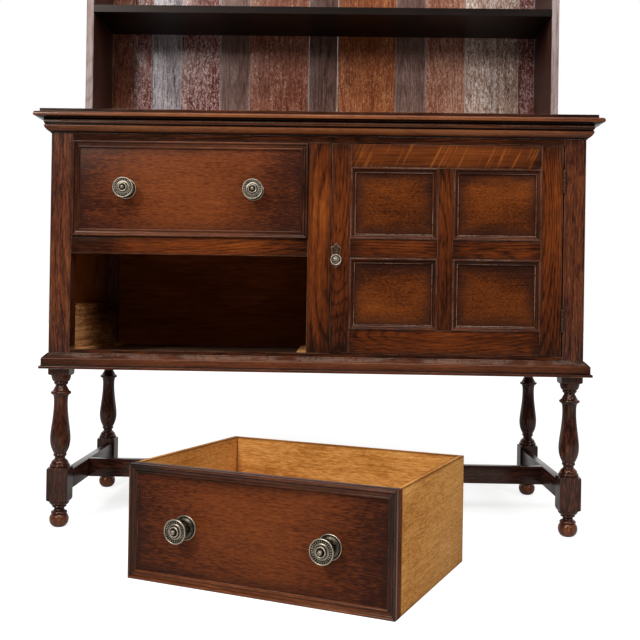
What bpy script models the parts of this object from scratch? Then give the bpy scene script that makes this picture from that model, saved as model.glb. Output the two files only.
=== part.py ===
"""Oak kitchen dresser with a plate rack, on four turned legs tied by a stretcher frame.

The upper drawer is home, the lower drawer stands on the floor in front of the legs, and a panelled
door closes the cupboard. Metres, +Z up. The front faces -Y and the floor is at zero.
"""
import math

import bmesh
import bpy
import numpy as np
from mathutils import Matrix

# Clearances
GAP = 0.0003
DRAWER_CLEARANCE = 0.0012
DRAWER_TOP_CLEARANCE = 0.0020
DOOR_CLEARANCE = 0.0015
HINGE_CLEARANCE = 0.0030
PIN_CLEARANCE = 0.0002

# Carcass
CARCASS_WIDTH = 1.160
CARCASS_DEPTH = 0.4835
UNDERSIDE_HEIGHT = 0.349
BASE_HEIGHT = 0.9115
POST_SIZE = 0.046
FRAME_THICKNESS = 0.021
BOTTOM_RAIL_HEIGHT = 0.042
MID_RAIL_HEIGHT = 0.038
TOP_RAIL_HEIGHT = 0.039
CENTRE_STILE_WIDTH = 0.049
CENTRE_STILE_X = 0.0055
TENON_THICKNESS = 0.007
TENON_LENGTH = 0.020
TENON_SHOULDER = 0.006
SIDE_THICKNESS = 0.018
SIDE_RAIL_HEIGHT = 0.070
SIDE_PANEL_RECESS = 0.007
FLOOR_THICKNESS = 0.009
PARTITION_THICKNESS = 0.016
BACK_THICKNESS = 0.008
BACK_INSET = 0.008
RUNNER_HEIGHT = 0.012
RUNNER_LEDGE = 0.022
GUIDE_HEIGHT = 0.100
UPPER_GUIDE_HEIGHT = 0.022
REAR_RAIL_DEPTH = 0.030
SHELF_THICKNESS = 0.015
SHELF_FRONT_INSET = 0.060

# Turned legs
FOOT_HEIGHT = 0.0575
LOWER_BLOCK_HEIGHT = 0.074
UPPER_BLOCK_HEIGHT = 0.016
BLOCK_SHOULDER = 0.006
TURNING_SIDES = 20
KNOB_SIDES = 16

# Stretchers
STRETCHER_HEIGHT = 0.0425
STRETCHER_THICKNESS = 0.018
STRETCHER_BOTTOM = 0.078
STRETCHER_INSET = 0.004
LONG_STRETCHER_BACK = 0.203

# Top board and the mouldings round the carcass
TOP_THICKNESS = 0.0247
TOP_OVERHANG = 0.032
TOP_MOULDING_HEIGHT = 0.0256
TOP_MOULDING_OUT = 0.0135
BASE_MOULDING_HEIGHT = 0.034
BASE_MOULDING_OUT = 0.0162

# Plate rack
RACK_DEPTH = 0.210
RACK_BACK_INSET = 0.007
RACK_SIDE_THICKNESS = 0.018
RACK_SHELF_THICKNESS = 0.018
RACK_SHELF_HOUSING = 0.005
RACK_BACK_THICKNESS = 0.012
RACK_BOARD_STEP = 0.003
RACK_BOARD_CHAMFER = 0.0025
RACK_BAY_1 = 0.295
RACK_BAY_2 = 0.270
RACK_BAY_3 = 0.250
PLATE_GROOVE_WIDTH = 0.009
PLATE_GROOVE_DEPTH = 0.004
PLATE_GROOVE_BACK = 0.045
CORNICE_HEIGHT = 0.050
CORNICE_OUT = 0.034

# Drawers
DRAWER_REAR_SPACE = 0.0407
DRAWER_FRONT_THICKNESS = 0.018
DRAWER_SIDE_THICKNESS = 0.0105
DRAWER_BOTTOM_THICKNESS = 0.006
DRAWER_BOTTOM_RISE = 0.010
DRAWER_GROOVE = 0.004
DRAWER_MOULDING_WIDTH = 0.0165
DRAWER_MOULDING_OUT = 0.0075
KNOB_RADIUS = 0.022
KNOB_REACH = 0.045
KNOB_SPREAD = 0.278
KNOB_RISE = 0.103

# The lower drawer, taken out and standing on the floor
DRAWER_OUT_X = -0.087
DRAWER_OUT_AHEAD = 0.440
DRAWER_OUT_TURN_DEGREES = -23.4

# Door
DOOR_STILE_LEFT = 0.0410
DOOR_STILE_RIGHT = 0.0455
DOOR_TOP_RAIL = 0.0505
DOOR_BOTTOM_RAIL = 0.0510
DOOR_MID_RAIL = 0.0405
DOOR_MUNTIN = 0.0325
DOOR_TENON_LENGTH = 0.018
PANEL_BACK_INSET = 0.006
PANEL_RECESS = 0.008
PANEL_MOULDING_WIDTH = 0.0125
PANEL_MOULDING_PROUD = 0.003
ESCUTCHEON_HALF_WIDTH = 0.0115
ESCUTCHEON_HALF_HEIGHT = 0.0285
ESCUTCHEON_THICKNESS = 0.0012
ESCUTCHEON_DROP = 0.0159
KEYHOLE_RADIUS = 0.0022
KEYHOLE_SLOT = 0.0024
KEYHOLE_DROP = 0.0085
KEYHOLE_RISE = 0.012
KEYHOLE_DEPTH = 0.012
DOOR_KNOB_RADIUS = 0.0125
DOOR_KNOB_REACH = 0.020
DOOR_KNOB_DROP = 0.010

# Lock
LOCK_WIDTH = 0.034
LOCK_HEIGHT = 0.050
LOCK_DEPTH = 0.0095
LOCK_EDGE_INSET = 0.002
BOLT_HEIGHT = 0.012
BOLT_THICKNESS = 0.0055
BOLT_LENGTH = 0.024

# Butt hinges
HINGE_HEIGHT = 0.050
HINGE_LEAF_WIDTH = 0.018
HINGE_LEAF_THICKNESS = 0.0009
HINGE_END_DISTANCE = 0.0765
KNUCKLE_RADIUS = 0.0032
KNUCKLE_COUNT = 5
PIN_RADIUS = 0.0014
ROUND_SIDES = 16

# Overrun of every cut past the surface that it opens
OVERRUN = 0.002

# Turned foot, from the floor up: share of its height, share of half the post
FOOT_SHARES = (
    (0.00, 0.48), (0.06, 0.66), (0.16, 0.85), (0.30, 0.905), (0.41, 0.87), (0.50, 0.71), (0.52, 0.68),
    (0.535, 0.72), (0.60, 0.70), (0.67, 0.49), (0.71, 0.475), (0.765, 0.60), (0.79, 0.66), (0.87, 0.83),
    (1.00, 0.92),
)

# Turned baluster between the two blocks: share of its height, share of half the post
BALUSTER_SHARES = (
    (0.000, 0.91), (0.024, 0.925), (0.034, 0.84), (0.056, 0.80), (0.076, 0.65), (0.086, 0.52),
    (0.102, 0.48), (0.118, 0.51), (0.124, 0.575), (0.142, 0.575), (0.179, 0.72), (0.220, 0.86),
    (0.275, 0.94), (0.335, 0.945), (0.410, 0.88), (0.490, 0.785), (0.575, 0.695), (0.655, 0.645),
    (0.735, 0.64), (0.776, 0.69), (0.796, 0.84), (0.809, 0.945), (0.824, 0.90), (0.834, 0.77),
    (0.862, 0.63), (0.882, 0.515), (0.895, 0.51), (0.908, 0.58), (0.913, 0.65), (0.930, 0.67),
    (0.937, 0.75), (0.965, 0.87), (1.000, 0.92),
)

# Shoulder that the lathe leaves on a block's end: share of the shoulder, share of half the block
SHOULDER_SHARES = ((0.0, 0.97), (0.45, 1.20), (1.0, 1.42))

# Edge of the top board, from the underside up: share of the overhang, share of the thickness
TOP_EDGE_SHARES = (
    (0.50, 0.00), (0.56, 0.12), (0.64, 0.22), (0.74, 0.31), (0.86, 0.38), (0.96, 0.42), (1.00, 0.50),
    (0.99, 0.61), (0.94, 0.70), (0.86, 0.77), (0.66, 0.80), (0.64, 0.86), (0.64, 1.00),
)

# Moulding under the top, from its foot up: share of the projection, share of the height
TOP_MOULDING_SHARES = (
    (0.10, 0.00), (0.13, 0.10), (0.24, 0.16), (0.38, 0.18), (0.42, 0.25), (0.38, 0.32), (0.50, 0.36),
    (0.74, 0.44), (0.92, 0.56), (1.00, 0.70), (1.00, 0.92), (0.96, 1.00),
)

# Moulding round the foot of the carcass, from its underside up
BASE_MOULDING_SHARES = (
    (0.97, 0.00), (1.00, 0.04), (1.00, 0.14), (0.92, 0.18), (0.77, 0.20), (0.75, 0.26), (0.75, 0.63),
    (0.71, 0.68), (0.48, 0.82), (0.22, 0.93), (0.06, 1.00),
)

# Cornice, from its foot up: share of the projection, share of the height
CORNICE_SHARES = (
    (0.10, 0.00), (0.14, 0.08), (0.14, 0.16), (0.22, 0.34), (0.40, 0.54), (0.66, 0.70), (0.80, 0.76),
    (0.80, 0.84), (1.00, 0.88), (1.00, 1.00),
)

# Moulding applied to a drawer front, from its outer edge in: share of the width, share of the projection
DRAWER_MOULDING_SHARES = (
    (0.00, 0.62), (0.05, 0.88), (0.14, 1.00), (0.25, 0.93), (0.32, 0.68), (0.42, 0.50), (0.60, 0.38),
    (0.84, 0.32), (1.00, 0.28),
)

# Moulding round a door panel, from its outer edge in: share of the width, share of its rise
PANEL_MOULDING_SHARES = (
    (0.00, 0.84), (0.06, 0.96), (0.18, 1.00), (0.32, 0.95), (0.40, 0.78), (0.48, 0.60), (0.66, 0.38),
    (0.84, 0.22), (1.00, 0.12),
)

# Knob, from its back plate out: share of the radius, share of the reach
KNOB_SHARES = (
    (1.00, 0.00), (1.00, 0.05), (0.88, 0.08), (0.60, 0.14), (0.30, 0.30), (0.28, 0.54), (0.45, 0.63),
    (0.94, 0.69), (1.00, 0.745), (0.95, 0.81), (0.78, 0.79), (0.62, 0.86), (0.44, 0.83), (0.30, 0.93),
    (0.12, 1.00),
)

# Half outline of the escutcheon, from its upper point to its lower one
ESCUTCHEON_SHARES = (
    (0.00, 1.00), (0.40, 0.80), (1.00, 0.64), (0.86, 0.34), (0.86, -0.34), (1.00, -0.64),
    (0.40, -0.80), (0.00, -1.00),
)

# Widths of the rack's back boards as shares of the whole, wide boards proud of the narrow ones
RACK_BOARD_SHARES = (
    0.0958, 0.0683, 0.0941, 0.0683, 0.1411, 0.0674, 0.1375, 0.0701, 0.0932, 0.0701, 0.0941,
)

# Sizes worked out from the ones above
HALF_WIDTH = CARCASS_WIDTH / 2
POST_INNER = HALF_WIDTH - POST_SIZE
SIDE_INNER = HALF_WIDTH - SIDE_THICKNESS
STILE_LEFT = CENTRE_STILE_X - CENTRE_STILE_WIDTH / 2
STILE_RIGHT = CENTRE_STILE_X + CENTRE_STILE_WIDTH / 2
PARTITION_LEFT = CENTRE_STILE_X - PARTITION_THICKNESS / 2
PARTITION_RIGHT = CENTRE_STILE_X + PARTITION_THICKNESS / 2
TOP_UNDERSIDE = BASE_HEIGHT - TOP_THICKNESS
BAY_BOTTOM = UNDERSIDE_HEIGHT + BOTTOM_RAIL_HEIGHT
BAY_TOP = TOP_UNDERSIDE - TOP_RAIL_HEIGHT
BAY_HEIGHT = (BAY_TOP - BAY_BOTTOM - MID_RAIL_HEIGHT) / 2
MID_RAIL_BOTTOM = BAY_BOTTOM + BAY_HEIGHT
MID_RAIL_TOP = MID_RAIL_BOTTOM + MID_RAIL_HEIGHT
FLOOR_TOP = BAY_BOTTOM - RUNNER_HEIGHT
DRAWER_WIDTH = STILE_LEFT + POST_INNER - 2 * DRAWER_CLEARANCE
DRAWER_HEIGHT = BAY_HEIGHT - GAP - DRAWER_TOP_CLEARANCE
DRAWER_DEPTH = CARCASS_DEPTH - POST_SIZE - GAP - REAR_RAIL_DEPTH / 2 - DRAWER_REAR_SPACE
OUT_TURN = math.radians(DRAWER_OUT_TURN_DEGREES)

# How far the drawer on the floor reaches ahead of the carcass: its near corner or its near knob
CORNER_REACH = DRAWER_OUT_AHEAD + (
    DRAWER_WIDTH / 2 * math.sin(-OUT_TURN) + DRAWER_MOULDING_OUT * math.cos(OUT_TURN)
)
KNOB_CORNER_REACH = DRAWER_OUT_AHEAD + (
    (KNOB_SPREAD / 2 + KNOB_RADIUS) * math.sin(-OUT_TURN) + KNOB_REACH * math.cos(OUT_TURN)
)

# The origin is on the floor under the middle of the whole object, drawer on the floor included
FRONT = (max(CORNER_REACH, KNOB_CORNER_REACH) - CARCASS_DEPTH) / 2
BACK = FRONT + CARCASS_DEPTH
FRAME_REAR = FRONT + FRAME_THICKNESS
PANEL_BACK_FRONT = BACK - BACK_INSET - BACK_THICKNESS
RACK_BACK = BACK - RACK_BACK_INSET
RACK_FRONT = RACK_BACK - RACK_DEPTH
RACK_INNER = HALF_WIDTH - RACK_SIDE_THICKNESS
SHELF_1 = BASE_HEIGHT + RACK_BAY_1
SHELF_2 = SHELF_1 + RACK_SHELF_THICKNESS + RACK_BAY_2
RACK_TOP = SHELF_2 + RACK_SHELF_THICKNESS + RACK_BAY_3

# Door, measured on the carcass; its hinge pins stand just ahead of the faces
DOOR_LEFT = STILE_RIGHT + DOOR_CLEARANCE
DOOR_RIGHT = POST_INNER - HINGE_CLEARANCE
DOOR_BOTTOM = BAY_BOTTOM + DOOR_CLEARANCE
DOOR_TOP = BAY_TOP - DOOR_CLEARANCE
HINGE_X = POST_INNER - HINGE_CLEARANCE / 2
HINGE_Y = FRONT - KNUCKLE_RADIUS - GAP


def clear_scene():
    """Empty the scene of whatever was in it."""
    for thing in list(bpy.data.objects):
        bpy.data.objects.remove(thing, do_unlink=True)


def finish(name, colour, roughness, metallic=0.0):
    """A plain finish: sRGB colour in hex, roughness and metallic value."""
    channels = [int(colour[i:i + 2], 16) / 255 for i in (0, 2, 4)]
    linear = [c / 12.92 if c <= 0.04045 else ((c + 0.055) / 1.055) ** 2.4 for c in channels]
    material = bpy.data.materials.new(name)
    material.use_nodes = True
    shader = material.node_tree.nodes["Principled BSDF"]
    shader.inputs["Base Color"].default_value = (*linear, 1.0)
    shader.inputs["Roughness"].default_value = roughness
    shader.inputs["Metallic"].default_value = metallic
    return material


def loft(name, rings, material=None, smooth_angle=None):
    """A closed body through rings of equally many points; its two ends are flat."""
    mesh = bpy.data.meshes.new(name)
    shape = bmesh.new()
    grid = [[shape.verts.new(point) for point in ring] for ring in rings]
    count = len(grid[0])
    for lower, upper in zip(grid, grid[1:]):
        for i in range(count):
            j = (i + 1) % count
            shape.faces.new((lower[i], lower[j], upper[j], upper[i]))
    shape.faces.new(grid[0])
    shape.faces.new(grid[-1])
    bmesh.ops.remove_doubles(shape, verts=shape.verts, dist=GAP / 100)
    bmesh.ops.recalc_face_normals(shape, faces=shape.faces)
    shape.to_mesh(mesh)
    shape.free()
    if smooth_angle:
        mesh.shade_smooth()
        mesh.set_sharp_from_angle(angle=smooth_angle)
    if material:
        mesh.materials.append(material)
    piece = bpy.data.objects.new(name, mesh)
    bpy.context.collection.objects.link(piece)
    return piece


def box_rings(low, high):
    """Two rectangles, one above the other, that bound a box."""
    (x0, y0, z0), (x1, y1, z1) = low, high
    outline = ((x0, y0), (x1, y0), (x1, y1), (x0, y1))
    return [[(x, y, z) for x, y in outline] for z in (z0, z1)]


def board(name, low, high, material):
    """A plain board between two opposite corners."""
    return loft(name, box_rings(low, high), material)


def prism(name, outline, axis, start, end, material):
    """An outline in the two other axes, in X, Y, Z order, run along one axis."""
    place = {
        "x": lambda u, v, w: (w, u, v),
        "y": lambda u, v, w: (u, w, v),
        "z": lambda u, v, w: (u, v, w),
    }[axis]
    rings = [[place(u, v, w) for u, v in outline] for w in (start, end)]
    return loft(name, rings, material)


def circle(radius, sides, centre=(0.0, 0.0), start=math.pi / 4):
    """Points round a circle, the first at the start angle."""
    angles = start + 2 * math.pi * np.arange(sides) / sides
    return [(centre[0] + radius * math.cos(a), centre[1] + radius * math.sin(a)) for a in angles]


def block_ring(half, limit, x, y, z):
    """A square of half-width half whose corners the lathe cut back to the radius limit."""
    ring = []
    for k in range(TURNING_SIDES):
        angle = math.pi / 4 + 2 * math.pi * k / TURNING_SIDES
        side = half / max(abs(math.cos(angle)), abs(math.sin(angle)))
        radius = min(side, limit)
        ring.append((x + radius * math.cos(angle), y + radius * math.sin(angle), z))
    return ring


def turned_rings(shares, bottom, height, x, y):
    """Round rings of a turned stretch, from its table of shares."""
    half = POST_SIZE / 2
    return [
        [(*point, bottom + share * height) for point in circle(radius * half, TURNING_SIDES, (x, y))]
        for share, radius in shares
    ]


def block_rings(bottom, top, x, y, top_shoulder=True):
    """Square rings of a block, with a turned shoulder at its foot and, if wanted, at its head."""
    half = POST_SIZE / 2
    rings = [
        block_ring(half, limit * half, x, y, bottom + share * BLOCK_SHOULDER)
        for share, limit in SHOULDER_SHARES
    ]
    if top_shoulder:
        rings += [
            block_ring(half, limit * half, x, y, top - share * BLOCK_SHOULDER)
            for share, limit in reversed(SHOULDER_SHARES)
        ]
    else:
        rings.append(block_ring(half, POST_SIZE, x, y, top))
    return rings


def hidden_shape(name, bodies):
    """One or more separate closed bodies that only serve as a cutter or an addition."""
    parts = [loft(name + "_piece", rings) for rings in bodies]
    mesh = bpy.data.meshes.new(name)
    joined = bmesh.new()
    for part in parts:
        joined.from_mesh(part.data)
        bpy.data.objects.remove(part, do_unlink=True)
    joined.to_mesh(mesh)
    joined.free()
    shape = bpy.data.objects.new(name, mesh)
    bpy.context.collection.objects.link(shape)
    shape.hide_render = True
    shape.display_type = "WIRE"
    return shape


def combine(piece, other, operation):
    """Cut the hidden shape out of a piece, or add it to the piece."""
    modifier = piece.modifiers.new(operation.title(), "BOOLEAN")
    modifier.operation = operation
    modifier.solver = "EXACT"
    modifier.object = other


def hang(pieces, holder):
    """Give pieces, made in the carcass's coordinates, to the empty that they turn or slide about."""
    for piece in pieces:
        piece.data.transform(Matrix.Translation(-holder.location))
        piece.parent = holder


def holder(name, location=(0.0, 0.0, 0.0), turn=0.0):
    """An empty at a joint's axis or at a drawer's own origin."""
    empty = bpy.data.objects.new(name, None)
    empty.location = location
    empty.rotation_euler = (0.0, 0.0, turn)
    bpy.context.collection.objects.link(empty)
    return empty


def rail_rings(x0, x1, low, high, tenon_length):
    """Rings along X of a rail from x0 to x1 with a tenon on each end; low and high are y, z corners."""
    (y0, z0), (y1, z1) = low, high
    middle = (y0 + y1) / 2
    half = TENON_THICKNESS / 2
    tenon = ((middle - half, z0 + TENON_SHOULDER), (middle + half, z1 - TENON_SHOULDER))

    def ring(x, corners):
        (a0, b0), (a1, b1) = corners
        return [(x, a0, b0), (x, a1, b0), (x, a1, b1), (x, a0, b1)]

    full = ((y0, z0), (y1, z1))
    return [
        ring(x0 - tenon_length, tenon), ring(x0, tenon), ring(x0, full),
        ring(x1, full), ring(x1, tenon), ring(x1 + tenon_length, tenon),
    ]


def mortise(face, direction, low, high, tenon_length=TENON_LENGTH):
    """Box rings of the hole for a rail's tenon, entered at x = face; low and high are y, z corners."""
    middle = (low[0] + high[0]) / 2
    half = TENON_THICKNESS / 2 + GAP
    ends = sorted((face - direction * OVERRUN, face + direction * (tenon_length + GAP)))
    return box_rings(
        (ends[0], middle - half, low[1] + TENON_SHOULDER - GAP),
        (ends[1], middle + half, high[1] - TENON_SHOULDER + GAP),
    )


def side_mortise(face, direction, x0, x1):
    """Box rings of the hole for a side stretcher's tenon, entered at y = face."""
    middle = (x0 + x1) / 2
    half = TENON_THICKNESS / 2 + GAP
    ends = sorted((face - direction * OVERRUN, face + direction * (TENON_LENGTH + GAP)))
    low = STRETCHER_BOTTOM + TENON_SHOULDER - GAP
    high = STRETCHER_BOTTOM + STRETCHER_HEIGHT - TENON_SHOULDER + GAP
    return box_rings((middle - half, ends[0], low), (middle + half, ends[1], high))


def rail_spans():
    """The y, z corners of the three front rails, from the foot up."""
    heights = (
        (UNDERSIDE_HEIGHT, BAY_BOTTOM),
        (MID_RAIL_BOTTOM, MID_RAIL_TOP),
        (BAY_TOP, TOP_UNDERSIDE - GAP),
    )
    return [((FRONT, low), (FRAME_REAR, high)) for low, high in heights]


def stretcher_faces(side):
    """Inner and outer x of a side stretcher; side is -1 on the left and 1 on the right."""
    inner = POST_INNER + STRETCHER_INSET
    return side * inner, side * (inner + STRETCHER_THICKNESS)


def leg_post(name, side, rear, material):
    """A leg and post in one: ball foot, block, baluster, and the square post up to the top board."""
    x = side * (HALF_WIDTH - POST_SIZE / 2)
    y = BACK - POST_SIZE / 2 if rear else FRONT + POST_SIZE / 2
    block_top = FOOT_HEIGHT + LOWER_BLOCK_HEIGHT
    upper_block = UNDERSIDE_HEIGHT - UPPER_BLOCK_HEIGHT
    rings = turned_rings(FOOT_SHARES, 0.0, FOOT_HEIGHT, x, y)
    rings += block_rings(FOOT_HEIGHT, block_top, x, y)
    rings += turned_rings(BALUSTER_SHARES, block_top, upper_block - block_top, x, y)
    rings += block_rings(upper_block, TOP_UNDERSIDE - GAP, x, y, top_shoulder=False)
    post = loft(name, rings, material, smooth_angle=math.radians(40))
    x0, x1 = stretcher_faces(side)
    inner_face = y - POST_SIZE / 2 if rear else y + POST_SIZE / 2
    holes = [side_mortise(inner_face, 1 if rear else -1, x0, x1)]
    if not rear:
        spans = rail_spans() if side < 0 else rail_spans()[::2]
        holes += [mortise(side * POST_INNER, side, low, high) for low, high in spans]
    combine(post, hidden_shape(name + "_mortises", holes), "DIFFERENCE")


def side_stretcher(name, side, material):
    """A stretcher from front leg to rear leg, tenoned into both, with a mortise for the long one."""
    x0, x1 = sorted(stretcher_faces(side))
    middle = (x0 + x1) / 2
    half = TENON_THICKNESS / 2
    low, high = STRETCHER_BOTTOM, STRETCHER_BOTTOM + STRETCHER_HEIGHT
    start = FRONT + POST_SIZE + GAP
    end = BACK - POST_SIZE - GAP

    def ring(y, a0, a1, inset):
        return [(a0, y, low + inset), (a1, y, low + inset), (a1, y, high - inset), (a0, y, high - inset)]

    tenon = (middle - half, middle + half, TENON_SHOULDER)
    rings = [
        ring(start - TENON_LENGTH + GAP, *tenon), ring(start, *tenon), ring(start, x0, x1, 0.0),
        ring(end, x0, x1, 0.0), ring(end, *tenon), ring(end + TENON_LENGTH - GAP, *tenon),
    ]
    piece = loft(name, rings, material)
    face = side * (POST_INNER + STRETCHER_INSET)
    depth = STRETCHER_THICKNESS / 2 + GAP
    ends = sorted((face - side * OVERRUN, face + side * depth))
    centre = FRONT + LONG_STRETCHER_BACK
    hole = box_rings(
        (ends[0], centre - half - GAP, low + TENON_SHOULDER - GAP),
        (ends[1], centre + half + GAP, high - TENON_SHOULDER + GAP),
    )
    combine(piece, hidden_shape(name + "_mortise", [hole]), "DIFFERENCE")


def long_stretcher(material):
    """The stretcher that joins the two side stretchers, ahead of the rear legs."""
    face = POST_INNER + STRETCHER_INSET - GAP
    centre = FRONT + LONG_STRETCHER_BACK
    low = (centre - STRETCHER_THICKNESS / 2, STRETCHER_BOTTOM)
    high = (centre + STRETCHER_THICKNESS / 2, STRETCHER_BOTTOM + STRETCHER_HEIGHT)
    loft("long_stretcher", rail_rings(-face, face, low, high, STRETCHER_THICKNESS / 2), material)


def three_sided(name, profile, half_width, front, back, material):
    """A moulding run round the left, front and right, mitred at the front; profile is (out, z)."""
    stations = []
    for side, at_front in ((-1, False), (-1, True), (1, True), (1, False)):
        stations.append([
            (side * (half_width + out), front - out if at_front else back, z) for out, z in profile
        ])
    return loft(name, stations, material)


def edged_board(name, profile, half_width, front, back, material):
    """A board with a moulded edge on its front and ends and a straight back; profile is (out, z)."""
    rings = []
    for out, z in profile:
        x, y = half_width + out, front - out
        rings.append([(-x, back, z), (-x, y, z), (x, y, z), (x, back, z)])
    return loft(name, rings, material)


def closed_profile(shares, projection, height, bottom):
    """A moulding's section: its face from a table of shares, and a straight back against the wood."""
    face = [(GAP + out * projection, bottom + rise * height) for out, rise in shares]
    return [(GAP, bottom)] + face + [(GAP, bottom + height)]


def carcass_frame(material):
    """Front rails tenoned into the posts, and the stile between drawers and cupboard."""
    names = ("bottom_rail", "mid_rail", "top_rail")
    for name, (low, high) in zip(names, rail_spans()):
        end = STILE_LEFT - GAP if name == "mid_rail" else POST_INNER - GAP
        rings = rail_rings(-POST_INNER + GAP, end, low, high, TENON_LENGTH - GAP)
        if name == "mid_rail":
            rings = rings[:4]
        loft(name, rings, material)
    board(
        "centre_stile", (STILE_LEFT, FRONT, BAY_BOTTOM + GAP), (STILE_RIGHT, FRAME_REAR, BAY_TOP - GAP),
        material,
    )


def side_panel(name, side, material):
    """Side of the carcass between the posts: a recessed panel between a top and a bottom rail."""
    outer, inner = HALF_WIDTH, SIDE_INNER
    recess = outer - SIDE_PANEL_RECESS
    low, high = UNDERSIDE_HEIGHT, TOP_UNDERSIDE - GAP
    outline = [
        (inner, low), (outer, low), (outer, low + SIDE_RAIL_HEIGHT), (recess, low + SIDE_RAIL_HEIGHT),
        (recess, high - SIDE_RAIL_HEIGHT), (outer, high - SIDE_RAIL_HEIGHT), (outer, high), (inner, high),
    ]
    outline = [(side * x, z) for x, z in outline]
    prism(name, outline, "y", FRONT + POST_SIZE + GAP, BACK - POST_SIZE - GAP, material)


def carcass_inside(stained, raw):
    """Floor, partition, back and the cupboard's shelf."""
    wide, narrow = SIDE_INNER - GAP, POST_INNER - GAP
    front, rear = FRAME_REAR + GAP, PANEL_BACK_FRONT - GAP
    notch_front, notch_rear = FRONT + POST_SIZE + GAP, BACK - POST_SIZE - GAP
    outline = [
        (-narrow, front), (narrow, front), (narrow, notch_front), (wide, notch_front),
        (wide, notch_rear), (narrow, notch_rear), (narrow, rear), (-narrow, rear),
        (-narrow, notch_rear), (-wide, notch_rear), (-wide, notch_front), (-narrow, notch_front),
    ]
    prism("floor_board", outline, "z", FLOOR_TOP - FLOOR_THICKNESS, FLOOR_TOP, stained)
    board(
        "partition", (PARTITION_LEFT, front, FLOOR_TOP + GAP),
        (PARTITION_RIGHT, rear, TOP_UNDERSIDE - GAP), stained,
    )
    board(
        "carcass_back", (-narrow, PANEL_BACK_FRONT, UNDERSIDE_HEIGHT),
        (narrow, BACK - BACK_INSET, TOP_UNDERSIDE - GAP), stained,
    )
    middle = (BAY_BOTTOM + BAY_TOP) / 2
    shelf = [
        (PARTITION_RIGHT + GAP, FRONT + SHELF_FRONT_INSET), (wide, FRONT + SHELF_FRONT_INSET),
        (wide, notch_rear), (narrow, notch_rear), (narrow, rear), (PARTITION_RIGHT + GAP, rear),
    ]
    prism(
        "cupboard_shelf", shelf, "z", middle - SHELF_THICKNESS / 2, middle + SHELF_THICKNESS / 2, raw,
    )


def runner(name, wall, edge, face, material):
    """An L-shaped runner from its wall to past the bay's edge, with a guide up to that edge."""
    reach = face * RUNNER_LEDGE
    outline = [
        (wall, FLOOR_TOP + GAP), (edge + reach, FLOOR_TOP + GAP), (edge + reach, BAY_BOTTOM),
        (edge, BAY_BOTTOM), (edge, BAY_BOTTOM + GUIDE_HEIGHT), (wall, BAY_BOTTOM + GUIDE_HEIGHT),
    ]
    start = FRONT + POST_SIZE + GAP
    prism(name, outline, "y", start, BACK - POST_SIZE - GAP, material)


def upper_runners(material):
    """The upper drawer's two runners and the rail that ties them at the back, with guides along them."""
    left, right = -SIDE_INNER + GAP, PARTITION_LEFT - GAP
    start, end = FRONT + POST_SIZE + GAP, BACK - POST_SIZE - GAP

    def outline(left_ledge, right_ledge, depth):
        return [
            (left, start), (left_ledge, start), (left_ledge, end - depth), (right_ledge, end - depth),
            (right_ledge, start), (right, start), (right, end), (left, end),
        ]

    wide = outline(-POST_INNER + RUNNER_LEDGE, STILE_LEFT - RUNNER_LEDGE, REAR_RAIL_DEPTH)
    slim = outline(-POST_INNER, STILE_LEFT, REAR_RAIL_DEPTH / 2)
    levels = (
        (wide, MID_RAIL_TOP - RUNNER_HEIGHT), (wide, MID_RAIL_TOP), (slim, MID_RAIL_TOP),
        (slim, MID_RAIL_TOP + UPPER_GUIDE_HEIGHT),
    )
    loft("upper_runner_frame", [[(x, y, z) for x, y in ring] for ring, z in levels], material)


def top_and_mouldings(material):
    """The top board with its stepped round edge, and the mouldings round the carcass's head and foot."""
    edge = [(o * TOP_OVERHANG, TOP_UNDERSIDE + s * TOP_THICKNESS) for o, s in TOP_EDGE_SHARES]
    edged_board("top_board", edge, HALF_WIDTH, FRONT, BACK, material)
    under_top = closed_profile(
        TOP_MOULDING_SHARES, TOP_MOULDING_OUT, TOP_MOULDING_HEIGHT - GAP,
        TOP_UNDERSIDE - TOP_MOULDING_HEIGHT,
    )
    three_sided("top_moulding", under_top, HALF_WIDTH, FRONT, BACK, material)
    foot = closed_profile(
        BASE_MOULDING_SHARES, BASE_MOULDING_OUT, BASE_MOULDING_HEIGHT, UNDERSIDE_HEIGHT,
    )
    three_sided("base_moulding", foot, HALF_WIDTH, FRONT, BACK, material)


def rack_side(name, side, material):
    """A side board of the rack, with a housing for each shelf."""
    outer, inner = HALF_WIDTH, RACK_INNER
    depth = inner + RACK_SHELF_HOUSING
    outline = [(outer, BASE_HEIGHT + GAP), (inner, BASE_HEIGHT + GAP)]
    for shelf in (SHELF_1, SHELF_2):
        low, high = shelf - GAP, shelf + RACK_SHELF_THICKNESS + GAP
        outline += [(inner, low), (depth, low), (depth, high), (inner, high)]
    outline += [(inner, RACK_TOP), (outer, RACK_TOP)]
    prism(name, [(side * x, z) for x, z in outline], "y", RACK_FRONT, RACK_BACK, material)


def rack_shelf(name, bottom, material):
    """A shelf housed in both sides, with a groove along its top that plates stand in."""
    top = bottom + RACK_SHELF_THICKNESS
    rear = RACK_BACK - RACK_BACK_THICKNESS - GAP
    groove = rear - PLATE_GROOVE_BACK
    outline = [
        (RACK_FRONT, bottom), (rear, bottom), (rear, top), (groove + PLATE_GROOVE_WIDTH / 2, top),
        (groove, top - PLATE_GROOVE_DEPTH), (groove - PLATE_GROOVE_WIDTH / 2, top), (RACK_FRONT, top),
    ]
    end = RACK_INNER + RACK_SHELF_HOUSING - GAP
    prism(name, outline, "x", -end, end, material)


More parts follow.
